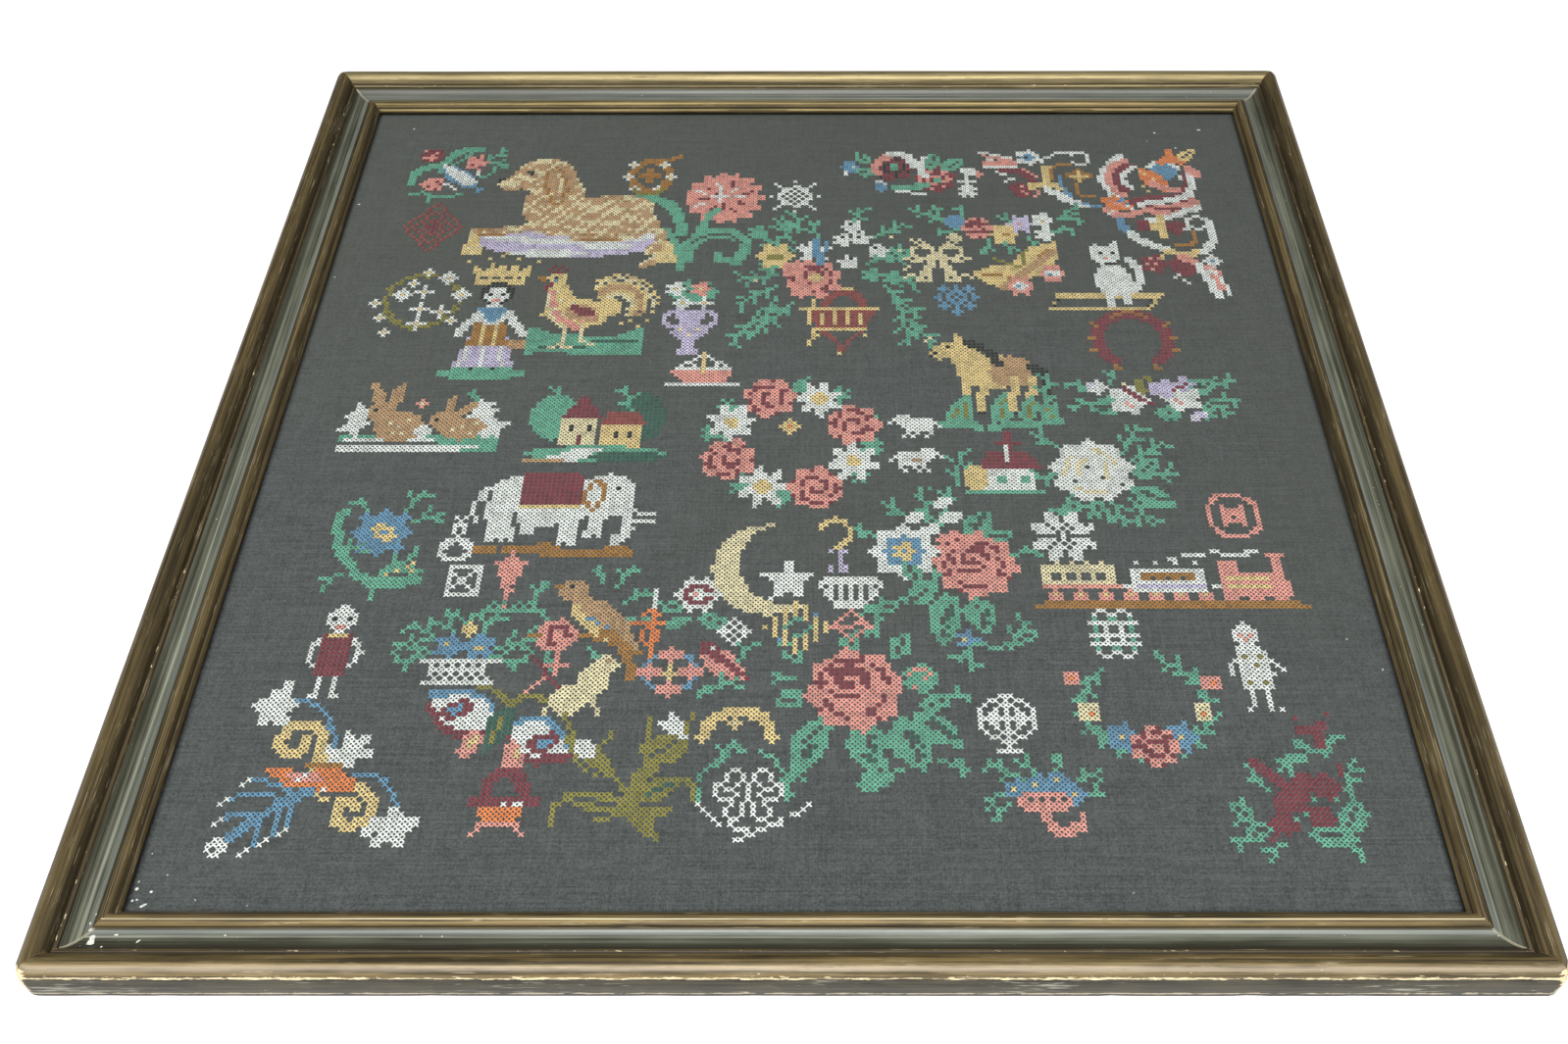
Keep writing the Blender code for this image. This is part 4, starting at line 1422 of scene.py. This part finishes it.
def small_figures(c):
    """A child in burgundy at the left and a figure in white at the right."""
    c.blob(24.5, 168, 2.8, 3.2, "white")
    c.dots("black", (23, 168), (26, 168))
    c.stroke("coral", [(24, 170), (25, 170)])
    c.polygon("burgundy", (21.5, 172), (28, 172), (28, 181.6), (22, 181.6))
    c.stroke("straw", [(23, 172), (26, 172)])
    c.bend("white", (21, 173), (18, 177), (21, 179))
    c.bend("white", (28, 173), (31, 177), (28, 179))
    for column in (23, 26):
        c.stroke("white", [(column, 182), (column, 186)])
    c.dots("white", (22, 186), (27, 186))
    c.blob(202, 171.6, 2.4, 2.8, "white")
    c.dots("coral", (202, 173), (201, 172), (203, 172))
    c.polygon("white", (200, 175), (205, 175), (205.4, 184.6), (199.4, 184.6))
    for way in (-1, 1):
        c.stroke("white", [(202.5 + 2 * way, 176), (202.5 + 5 * way, 180), (202.5 + 2 * way, 182)])
        c.stroke("white", [(202.5 + 1.5 * way, 185), (202.5 + 2 * way, 189)])
        c.stitch(202.5 + 3 * way, 189, "white")
    c.dots("olive", (201, 177), (204, 177), (201, 183), (204, 183), (203, 179))


def flower_basket(c):
    for column, row, angle, length in ((44, 176, 165, 8), (45, 174, 140, 8), (47, 172, 110, 6),
                                       (52, 172, 60, 6), (56, 175, 20, 7), (55, 177, -10, 7),
                                       (42, 177, 190, 5), (50, 172, 90, 5)):
        c.fern(column, row, angle, length, 3)
    c.petals(46.5, 174.5, 2.8, 5, "blue", 0.7)
    c.petals(52.5, 174.5, 3.2, 5, "blue", 0.7, 30)
    c.petals(50, 170.5, 1.8, 4, "straw", 0.6)
    c.dots("straw", (46, 174), (52, 175), (53, 175))
    c.stroke("white", [(42, 177.6), (57, 177.6)])
    for row, half in ((178, 6), (179, 5.4), (180, 5), (181, 5), (182, 5.6), (183, 6.4)):
        for column in range(round(49.5 - half), round(49.5 + half) + 1):
            if (column + row) % 2 or row in (180, 183):
                c.stitch(column, row, "white")


def bird_on_a_branch(c):
    c.bend("amber", (62, 172), (72, 170), (84, 176))
    c.leaf(70, 163, -42, 18, 7, "tan", "tan")
    c.blob(69.5, 161, 3, 2.8, "tan")
    c.bend("straw", (70, 165), (74, 171), (80, 174), 2)
    c.dots("blue", (73, 168), (75, 169), (77, 170), (74, 168))
    c.bend("amber", (76, 171), (82, 174), (82, 181), 2)
    c.dots("black", (69, 160))
    c.dots("amber", (66, 160), (67, 160))
    c.petals(67.5, 172, 4, 5, "coral", 0.8)
    c.arc("burgundy", 67.5, 172, 2, 2, 0, 260)
    for column, row, angle, length in ((62, 164, 80, 5), (65, 168, 130, 4), (78, 160, 60, 6),
                                       (80, 164, 35, 5), (75, 159, 100, 4), (74, 175, -50, 5),
                                       (66, 176, -80, 4), (81, 168, -20, 4)):
        c.fern(column, row, angle, length, 2)


def middle_trifles(c):
    """The small pieces that fill the middle of the lower half."""
    c.stroke("orange", [(85.5, 163), (85.5, 177)])
    c.arc("orange", 85.5, 172, 1.6, 2)
    c.stroke("orange", [(82, 169), (89, 169)])
    c.dots("orange", (85, 166), (86, 166), (84, 167), (87, 167))
    c.stroke("white", [(85.5, 161), (85.5, 164)])
    c.dots("white", (86, 165), (86, 162))
    c.petals(94.5, 162, 4.4, 6, "white", 0.8)
    c.arc("burgundy", 94.5, 162, 2.4, 2.2, 20, 330)
    c.stitch(94.5, 162, "coral")
    c.leaf(91, 166, 150, 5, 2.6)
    c.leaf(93, 168, 200, 5, 2)
    c.leaf(95, 168, -10, 6, 3)
    c.rows(99, 168, ("   w   ", "  w w  ", " w w w ", "www www", " w w w ", "  w w  ", "   w   "))
    for size in (6, 4):
        c.stroke("straw", [(114.5 - size, 170), (114.5, 170 - size), (114.5 + size, 170),
                           (114.5, 170 + size), (114.5 - size, 170)])
    c.dots("jade", (114, 168), (115, 168), (112, 170), (117, 170), (114, 172), (115, 172), (113, 169),
           (116, 171))
    c.dots("blue", (111, 173), (118, 167))
    c.stroke("coral", [(121, 169.5), (125, 166), (129, 169.5), (125, 173), (121, 169.5)])
    c.stroke("coral", [(123, 170), (127, 169)])
    c.arc("blue", 90, 180.5, 4.8, 4.8)
    for way in range(4):
        turn = radians(90 * way)
        c.petals(90 + 4 * cos(turn), 180.5 - 4 * sin(turn), 2.1, 4, "coral", 0.6)
    c.dots("straw", (90, 180), (90, 179), (90, 182), (89, 181), (91, 181), (90, 181))
    c.leaf(96, 175, -40, 12, 5, "coral", "burgundy")
    c.stroke("burgundy", [(97, 174), (105, 182)])
    c.blob(97.4, 175, 1.8, 1.6, "burgundy")
    c.stitch(98, 175, "white")
    c.fern(98, 185, 30, 6, 3)
    c.fern(103, 178, 60, 5, 2)
    c.fern(99, 184, 190, 3, 2)
    c.stroke("burgundy", [(63, 177), (69, 184)])
    c.petals(68, 179, 2, 4, "coral", 0.5)
    c.stroke("coral", [(63, 185), (66, 182)])
    c.blob(71.5, 186.6, 4, 3, "ivory", 20)
    c.blob(75.5, 182.5, 3, 4.2, "ivory", -15)
    c.blob(77.5, 179, 2.6, 2.2, "ivory")
    c.stroke("ivory", [(68, 187), (66.6, 190)])
    c.stroke("ivory", [(70, 188), (70, 190), (72, 190)])
    c.stroke("ivory", [(76, 186), (77, 190)])
    c.stitch(78, 178, "tan")


def butterfly(c):
    for column, row, angle, reach, width in ((58, 192.4, 156, 15, 8.4), (61, 193.4, -22, 13, 8)):
        side = cos(radians(angle))
        c.leaf(column, row + 1.2, angle, reach, width, "burgundy", "burgundy")
        c.leaf(column, row - 1.2, angle, reach, width - 1, "blue", "blue")
        c.leaf(column, row, angle, reach - 1, width - 1.4, "white", "white")
        middle = (column + 0.56 * reach * side, row - 0.56 * reach * sin(radians(angle)))
        c.blob(*middle, 3.2, 1.9, "burgundy", -angle)
        c.blob(*middle, 1.5, 0.9, "blue", -angle)
    for column, row, turn in ((54, 196.6, 70), (62.4, 199, -70)):
        c.blob(column, row, 3.2, 1.8, "coral", turn)
        c.blob(column + 0.6, row - 0.6, 1.6, 0.8, "straw", turn)
    c.leaf(60.4, 188, -108, 11, 4.4, "forest", "olive")
    c.bend("olive", (60, 188), (58, 184), (54, 184))
    c.bend("olive", (61, 188), (64, 184), (67, 187))


def corner_scroll(c):
    """Two straw scrolls on an orange band, white blossoms and a blue feather."""
    c.petals(16, 189, 4.4, 5, "white", 0.6, 20)
    c.blob(17.4, 184.6, 1.4, 1.8, "white")
    c.bend("blue", (20, 187), (25, 187), (27, 192))
    c.bend("blue", (27, 192), (30, 196), (29, 200))
    c.scroll("straw", 21.8, 196.2, 5.2, -30, 1.15)
    c.bend("straw", (27, 198), (28, 200), (26, 201), 2)
    c.stroke("white", [(28, 197), (29, 200)])
    c.petals(32.6, 197.6, 4, 5, "white", 0.5, 50)
    c.stroke("white", [(30, 200), (33, 201)])
    c.polygon("orange", (17, 201.4), (24, 202.2), (30.6, 201.6), (36, 205.4), (33, 207), (26, 206.6),
              (21, 204.8))
    c.polygon("coral", (20, 202.2), (27, 202.8), (29, 204.6), (23, 204.6))
    c.stroke("amber", [(25, 201), (31, 201)])
    c.stroke("straw", [(27, 207), (30, 208)])
    c.dots("white", (24, 204), (25, 203), (29, 206))
    c.bend("blue", (34, 203), (41, 202), (43, 210))
    c.scroll("straw", 34.2, 210, 4.6, 75, -1.15)
    c.petals(42.8, 213.8, 4.6, 5, "white", 0.5, 90)
    c.stroke("white", [(38, 214), (41, 213)], 2)
    c.bend("blue", (26, 206), (20, 209), (13, 217), 2)
    for start, knee, end in (((24, 207), (20, 204), (15, 204)), ((22, 208), (17, 206), (12, 208)),
                             ((19, 211), (16, 210), (12, 212)), ((24, 208), (25, 211), (24, 214)),
                             ((22, 210), (23, 213), (21, 216)), ((19, 212), (20, 215), (18, 218))):
        c.bend("blue", start, knee, end)
        c.dots("white", end, (end[0] - 1, end[1] + 1))
    c.arc("white", 12.4, 217.6, 1.4, 1.2)


def tulips_and_pail(c):
    c.polygon("orange", (57, 209), (66, 209), (64, 214), (59, 214))
    c.stroke("burgundy", [(56, 208), (67, 208)], 2)
    c.arc("burgundy", 61.5, 207, 3.4, 5, 0, 180, 2)
    c.stroke("coral", [(58, 213), (65, 213)])
    c.dots("coral", (58, 214), (65, 214), (57, 215), (66, 215), (61, 201), (62, 201))
    c.dots("white", (62, 209), (64, 209), (65, 209))
    c.polygon("olive", (71, 194.6), (75, 196), (79, 198), (81.6, 202), (79, 204), (74.6, 201.6))
    c.polygon("olive", (94.6, 193.6), (95, 197.6), (91, 201), (86.6, 200.6), (85.6, 197), (89, 195))
    c.stroke(None, [(75, 200), (79, 203)])
    c.stroke(None, [(92, 196), (88, 199)])
    for start, end in (((73, 195), (71, 190)), ((78, 198), (80, 194)), ((87, 196), (87, 191)),
                       ((94, 194), (95, 190))):
        c.stroke("olive", [start, end])
    c.blob(75.4, 197.4, 1.9, 2.4, "white", 20)
    c.petals(91.4, 192.4, 2.4, 4, "white", 0.6)
    c.blob(93, 194.4, 1.4, 0.8, "white", -30)
    c.bend("olive", (80, 203), (84, 204), (84, 209))
    c.bend("olive", (88, 201), (84, 203), (85, 211), 2)
    c.leaf(85.6, 207.6, 24, 10, 3.8, "olive", "forest")
    c.bend("olive", (94, 204), (97, 205), (96, 208))
    c.leaf(84.6, 209.6, 170, 13, 3.8, "olive")
    c.bend("olive", (73, 208), (70, 210), (71, 213))
    c.leaf(85, 210, -50, 8, 2.4, "olive")
    c.leaf(86, 211, 8, 7, 2.4, "olive")
    c.stroke("olive", [(79, 212), (84, 211)])


def laurel_knot(c):
    """A white knot between two laurel sprays."""
    c.rows(100, 202, ("   ww   ww   ", "  w  w w  w  ", "  w  w w  w  ", "ww  w w w  ww", "w ww  w  ww w",
                      "w   w w w   w", " www  w  www ", "   w w w w   ", "  w  w w  w  ", "  w  w w  w  ",
                      "   ww   ww   "))
    c.bend("white", (97, 209), (103, 216), (112, 213))
    c.bend("white", (104, 216), (110, 214), (117, 209))
    c.bend("jade", (97, 208), (96, 200), (105, 198))
    c.bend("jade", (113, 208), (114, 202), (108, 198))
    c.fern(100, 201, 60, 6, 2)
    c.fern(113, 206, 80, 6, 2)


def open_wreath(c):
    for step in range(17):
        angle = 130 + 17.5 * step
        way = radians(angle)
        c.fern(180.5 + 12 * cos(way), 188 - 10.5 * sin(way), angle + 100, 5, 2)
    c.petals(175, 195, 3, 5, "blue", 0.7)
    c.petals(186, 195, 3, 5, "blue", 0.7)
    c.rose(181, 197, 4.6, "coral", "burgundy")
    for column, row, yarn in ((167, 182, "coral"), (193.5, 183, "coral"), (169.5, 189.5, "ivory"),
                              (191, 189.5, "ivory")):
        c.petals(column, row, 2, 4, yarn, 0.7, 45)
        c.stitch(column, row, "orange")
    c.dots("straw", (175, 195), (186, 195))


def horn_of_flowers(c):
    for column, row, angle, length in ((156, 204, 150, 7), (158, 203, 110, 4), (162, 203, 70, 4),
                                       (165, 205, 30, 6), (166, 207, 0, 4), (152, 207, 200, 3),
                                       (153, 209, 220, 4)):
        c.fern(column, row, angle, length, 2)
    for column, row in ((154.5, 206), (158.5, 205), (162.5, 204.5), (165, 207)):
        c.petals(column, row, 2, 5, "blue", 0.8)
        c.stitch(column, row, "straw")
    c.blob(159.5, 208.6, 5, 2.2, "coral")
    c.dots(None, (157, 208), (161, 208), (159, 208), (163, 208))
    c.bend("coral", (159, 210), (160, 216), (165, 213), 2)
    c.dots("coral", (166, 212), (166, 211))


def berries(c):
    for column, row, angle, length in ((197, 213, 150, 5), (196, 216, 180, 4), (200, 206, 120, 6),
                                       (203, 202, 40, 5), (212, 199, 60, 5), (212, 198, 170, 5),
                                       (214, 203, 20, 4), (215, 209, 90, 5), (201, 217, 200, 4),
                                       (205, 203, 100, 3), (196, 212, 100, 4), (214, 214, 40, 4),
                                       (210, 216, -30, 5)):
        c.fern(column, row, angle, length, 2)
    c.leaf(206, 215, -5, 8, 4)
    c.leaf(212, 215, 60, 8, 4)
    c.leaf(194, 216, 30, 7, 3)
    c.stroke("burgundy", [(199, 201.5), (202, 204)], 2)
    c.blob(204.6, 207, 5.4, 2.5, "burgundy", 48)
    c.blob(201.6, 213, 2.7, 2, "burgundy", -20)
    c.blob(208.4, 211.4, 2.8, 2.1, "burgundy", -25)
    c.blob(210.8, 205.4, 2.5, 2.7, "burgundy")
    c.blob(198.6, 200.6, 1.4, 1.2, "burgundy")
    c.petals(211, 194, 3.4, 3, "burgundy", 0.34, 50)
    c.stroke("burgundy", [(214, 201), (214, 203)])
    c.dots("burgundy", (199, 216), (200, 215), (214, 190), (208, 191))
    c.dots("jade", (208, 208), (206, 211), (204, 212), (212, 208))


PICTURE = (posies_at_the_top, resting_hound, ornaments, crown_and_blossoms, farm_maid, rooster, urn_and_boat,
           hanging_basket, scroll_corner, garlands, moth_and_cat, horseshoe_and_foal, hares_and_cottages,
           wreath, sheep, white_rose, elephant, small_motifs_left, moon_and_star, garden_roses, snow_star,
           little_train, small_figures, flower_basket, bird_on_a_branch, middle_trifles, butterfly,
           corner_scroll, tulips_and_pail, laurel_knot, open_wreath, horn_of_flowers, berries)


def draw_picture():
    chart = Chart()
    for motif in PICTURE:
        motif(chart)
    return chart.cells


# Yarn and stitches

LEG_HALF_LENGTH = 0.00194
YARN_HALF_WIDTH = 0.00044
STITCH_STRAY = 0.00005
STITCH_SEED = 1838


def yarn(name, colour):
    """Soft twisted yarn, each stitch a shade of its own."""
    finish = Finish("yarn_" + name, Specular_IOR_Level=0.25, Sheen_Weight=0.25, Sheen_Roughness=0.5)
    shade = finish.attribute("shade")
    fade = finish.noise(finish.place(), 34, 3, 0.6)
    round_and_along = finish.node("UVMap", {"uv_map": "twist"})
    turns = finish.node("SeparateXYZ", None, {0: round_and_along}, 0)
    length = finish.node("SeparateXYZ", None, {0: round_and_along}, 1)
    plies = (turns * 12.57 + length * 20).wave() * 0.5 + 0.5
    fibres = finish.noise(finish.place(), 5200, 2, 0.6)
    darker = tuple(0.42 * level for level in colour)
    lighter = tuple(min(0.95, 1.12 * level + 0.01) for level in colour)
    # The plies term paints shade into the grooves of the twist; the per-stitch tone, fade and fibres are the
    # yarn's own.
    tone = finish.ramp(0.30 * shade + fade * 0.45 + plies * 0.22 + fibres * 0.18, (0.18, 0.0), (0.68, 1.0))
    return finish.surface(Base_Color=finish.mix(tone, darker, lighter), Roughness=0.78 + fibres * 0.15,
                          Normal=finish.bump(plies + fibres * 0.6, 0.00012, 0.7))


def cross_of_yarn():
    """One stitch on a cell: a leg from corner to corner, and the second leg laid over it."""
    work = bmesh.new()
    work.loops.layers.uv.new("twist")
    for turn, stations, rise, thickness in ((-45, 3, 0.00010, 0.00038), (45, 4, 0.00034, 0.00040)):
        leg = bmesh.ops.create_uvsphere(work, u_segments=4, v_segments=stations, radius=1.0,
                                        calc_uvs=True)["verts"]
        turn_about(work, leg, radians(90), "Y")
        for corner in leg:
            x, y, z = corner.co
            fuller = 1.22 if abs(x) > 0.6 or stations == 3 else 1.0
            blunt = copysign(abs(x) ** 0.4, x)
            dip = rise * (1 - blunt * blunt) + 0.00012 * (1 - abs(blunt))
            corner.co = (blunt * LEG_HALF_LENGTH, y * YARN_HALF_WIDTH * fuller,
                         z * thickness * 0.5 * fuller + dip + 0.00006)
        turn_about(work, leg, radians(turn))
    mesh = bpy.data.meshes.new("cross_of_yarn")
    work.to_mesh(mesh)
    work.free()
    mesh.shade_smooth()
    return bpy.data.objects.new("cross_of_yarn", mesh)


def stitching(cross):
    """Geometry nodes that work one cross on every point, turned and sized as the point says."""
    tree = bpy.data.node_groups.new("stitching", "GeometryNodeTree")
    tree.interface.new_socket("Geometry", in_out="INPUT", socket_type="NodeSocketGeometry")
    tree.interface.new_socket("Geometry", in_out="OUTPUT", socket_type="NodeSocketGeometry")
    points = tree.nodes.new("NodeGroupInput")
    worked = tree.nodes.new("NodeGroupOutput")
    shape = tree.nodes.new("GeometryNodeObjectInfo")
    shape.inputs["Object"].default_value = cross
    copies = tree.nodes.new("GeometryNodeInstanceOnPoints")
    joined = tree.nodes.new("GeometryNodeRealizeInstances")
    tree.links.new(points.outputs[0], copies.inputs["Points"])
    tree.links.new(shape.outputs["Geometry"], copies.inputs["Instance"])
    for name, socket in (("turn", "Rotation"), ("size", "Scale")):
        attribute = tree.nodes.new("GeometryNodeInputNamedAttribute")
        attribute.data_type = "FLOAT_VECTOR"
        attribute.inputs["Name"].default_value = name
        tree.links.new(attribute.outputs[0], copies.inputs[socket])
    tree.links.new(copies.outputs[0], joined.inputs[0])
    tree.links.new(joined.outputs[0], worked.inputs[0])
    return tree


def work_stitches(name, cells, nodes, chance):
    """All stitches of one yarn, as one joined piece."""
    work = bmesh.new()
    turn = work.verts.layers.float_vector.new("turn")
    size = work.verts.layers.float_vector.new("size")
    shade = work.verts.layers.float.new("shade")
    half_side = STITCHES_ACROSS / 2 * STITCH_PITCH
    for column, row in sorted(cells):
        x = (column + 0.5) * STITCH_PITCH - half_side + chance.gauss(0, STITCH_STRAY)
        y = half_side - (row + 0.5) * STITCH_PITCH + PICTURE_RISE + chance.gauss(0, STITCH_STRAY)
        point = work.verts.new((x, y, CLOTH_TOP))
        point[turn] = Vector((0.0, 0.0, chance.gauss(0, 0.05)))
        point[size] = Vector((chance.uniform(0.93, 1.06), chance.uniform(0.93, 1.06),
                              chance.uniform(0.85, 1.12)))
        point[shade] = chance.random()
    piece = add_piece("stitches_" + name, work)
    piece.modifiers.new("stitching", "NODES").node_group = nodes
    evaluated = piece.evaluated_get(bpy.context.evaluated_depsgraph_get())
    mesh = bpy.data.meshes.new_from_object(evaluated)
    piece.modifiers.clear()
    piece.data = mesh
    mesh.materials.clear()
    mesh.materials.append(yarn(name, YARNS[name]))
    for attribute in ("turn", "size"):
        if attribute in mesh.attributes:
            mesh.attributes.remove(mesh.attributes[attribute])
    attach(piece, "root")
    return piece


def embroider():
    """Work the whole picture, one piece for each yarn."""
    picture = draw_picture()
    cross = cross_of_yarn()
    nodes = stitching(cross)
    chance = Random(STITCH_SEED)
    pieces = []
    for name in YARNS:
        cells = [cell for cell, used in picture.items() if used == name]
        if cells:
            pieces.append(work_stitches(name, cells, nodes, chance))
    bpy.data.objects.remove(cross)
    return pieces


# Small marks of age: place, length, width and turn of each, in millimetres and degrees

PAINT_DROPS = ((-300.1, -307.1, 11.5, 4.2, 3.2, 60), (-300.0, -304.4, 11.1, 2.6, 2.2, 20),
               (-290.2, -303.3, 11.2, 1.9, 0.9, 0), (-279.9, -306.2, 11.3, 2.4, 0.7, 45),
               (-243.4, -303.5, 11.2, 0.9, 0.8, 0), (-251.8, -299.6, 12.2, 0.9, 0.7, 30),
               (-301.8, -301.0, 11.4, 1.9, 1.2, 50), (-303.0, -298.0, 11.1, 1.4, 0.8, 80),
               (-275.0, -311.3, 14.6, 1.4, 0.5, 0), (-257.5, -311.3, 14.6, 2.2, 0.5, 5),
               (-301.6, -294.0, 11.3, 1.5, 0.5, 75), (-300.6, -290.0, 11.5, 1.2, 0.4, 80),
               (-294.0, -309.4, 13.0, 1.1, 0.5, 20), (-150.3, -304.0, 11.2, 0.8, 0.7, 0),
               (301.0, -120.0, 11.3, 1.0, 0.7, 80))
LINT = ((-291.0, -279.1, 4.9, 1.7, 1.5, 0), (-284.1, -280.4, 4.9, 1.4, 1.2, 0),
        (-291.2, -284.6, 4.9, 1.3, 1.1, 40), (-289.3, -284.2, 4.9, 1.2, 1.0, 0),
        (-285.8, -286.9, 4.9, 3.4, 1.1, 32), (-279.2, -272.4, 4.9, 0.8, 0.6, 0),
        (-263.6, -284.3, 4.9, 1.4, 0.4, -50), (-291.0, -275.6, 4.9, 1.1, 0.6, 60),
        (236.8, 273.9, 4.9, 1.9, 0.9, -30), (267.5, 277.2, 4.9, 2.6, 1.1, 10),
        (248.6, 257.0, 4.9, 1.7, 0.7, -35), (-267.5, 279.0, 4.9, 1.8, 0.7, 60),
        (-288.8, 198.1, 4.9, 1.8, 0.9, 10), (-289.5, 127.2, 4.9, 1.0, 0.7, 0),
        (288.0, -162.9, 4.9, 1.3, 0.6, 80), (274.4, -144.7, 4.9, 0.9, 0.6, 0),
        (230.6, 265.0, 4.9, 1.1, 0.3, 75), (-118.0, -196.5, 4.9, 1.5, 0.5, 80),
        (-289.0, -262.0, 4.9, 0.7, 0.5, 0), (-240.0, -287.0, 4.9, 0.7, 0.3, 20),
        (150.0, -281.0, 4.9, 1.0, 0.3, 40))


def chalky(name, colour):
    """Dry pale matter, a little dirty."""
    finish = Finish(name, Specular_IOR_Level=0.3)
    grime = finish.noise(finish.place(), 1400, 3, 0.6)
    darker = tuple(0.55 * level for level in colour)
    return finish.surface(Base_Color=finish.mix(finish.ramp(grime, (0.35, 0.0), (0.55, 1.0)), darker, colour),
                          Roughness=0.6 + grime * 0.2, Normal=finish.bump(grime, 0.0002, 0.6))


def spatter(name, finish, marks, height):
    """Small drops or flakes, each a flattened ball with an uneven edge."""
    work = bmesh.new()
    for x, y, z, length, width, turn in marks:
        place = Vector((x, y, z)) * 0.001
        drop = bmesh.ops.create_icosphere(work, subdivisions=2, radius=0.5)["verts"]
        for corner in drop:
            corner.co *= 1 + 0.35 * noise.noise(corner.co * 3 + place * 900)
        bmesh.ops.scale(work, vec=(0.001 * length, 0.001 * width, 2 * height), verts=drop)
        turn_about(work, drop, radians(turn))
        bmesh.ops.translate(work, vec=place, verts=drop)
    piece = add_piece(name, work, finish, smooth=60)
    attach(piece, "root")


# Studio

PHOTO_WIDTH = 1599
FOCAL_PIXELS = 1507.7
OPTICAL_CENTRE = 842.87
SENSOR_WIDTH = 36.0


def add_floor():
    work = bmesh.new()
    bmesh.ops.create_grid(work, x_segments=1, y_segments=1, size=4.0)
    paper = Finish("pale_floor", Roughness=0.85, Specular_IOR_Level=0.1)
    mottle = paper.noise(paper.place(), 3, 2, 0.5)
    paper.surface(Base_Color=paper.mix(mottle, (0.86, 0.86, 0.86), (0.90, 0.90, 0.90)))
    floor_sheet = add_piece("studio_floor", work, paper.material)
    floor_sheet.location.z = -0.0004


def add_panel(name, place, aim, width, height, power, colour=(1.0, 1.0, 1.0)):
    """A soft light panel that faces its aim."""
    light = bpy.data.lights.new(name, "AREA")
    light.shape = "RECTANGLE"
    light.size = width
    light.size_y = height
    light.energy = power
    light.color = colour
    panel = bpy.data.objects.new(name, light)
    panel.location = place
    panel.rotation_euler = (Vector(aim) - Vector(place)).to_track_quat("-Z", "Y").to_euler()
    bpy.context.scene.collection.objects.link(panel)


def light_the_studio():
    world = bpy.data.worlds.new("studio")
    world.use_nodes = True
    world.node_tree.nodes["Background"].inputs[0].default_value = (0.84, 0.90, 1.0, 1.0)
    world.node_tree.nodes["Background"].inputs[1].default_value = 0.19
    bpy.context.scene.world = world
    add_panel("overhead", (0.0, -1.15, 2.1), (0, 0, 0), 1.6, 1.1, 98, (1.0, 0.985, 0.95))
    add_panel("front", (-0.5, -2.2, 1.3), (0, 0, 0), 2.0, 1.0, 10)


def add_camera():
    """The photograph's viewpoint, found from the four sight corners."""
    lens = bpy.data.cameras.new("photograph")
    lens.sensor_width = SENSOR_WIDTH
    lens.lens = SENSOR_WIDTH * FOCAL_PIXELS / PHOTO_WIDTH
    lens.shift_x = (PHOTO_WIDTH / 2 - OPTICAL_CENTRE) / PHOTO_WIDTH
    lens.clip_start = 0.01
    camera = bpy.data.objects.new("photograph", lens)
    camera.location = (0.015693, -0.569367, 0.613096)
    camera.rotation_euler = (0.6887292, 0.0015799, 0.0008793)
    bpy.context.scene.collection.objects.link(camera)
    bpy.context.scene.camera = camera


def main():
    add_camera()
    light_the_studio()
    add_floor()
    add_moulding()
    spatter("paint_drops", chalky("old_paint", (0.68, 0.68, 0.62)), PAINT_DROPS, 0.0004)
    spatter("lint_specks", chalky("lint", (0.76, 0.76, 0.72)), LINT, 0.0003)
    refinish("glass", window_glass())
    refinish("backing_board", pressed_board())
    cloth = add_cloth()
    stitches = embroider()


main()
bpy.context.scene.view_settings.view_transform = "Standard"
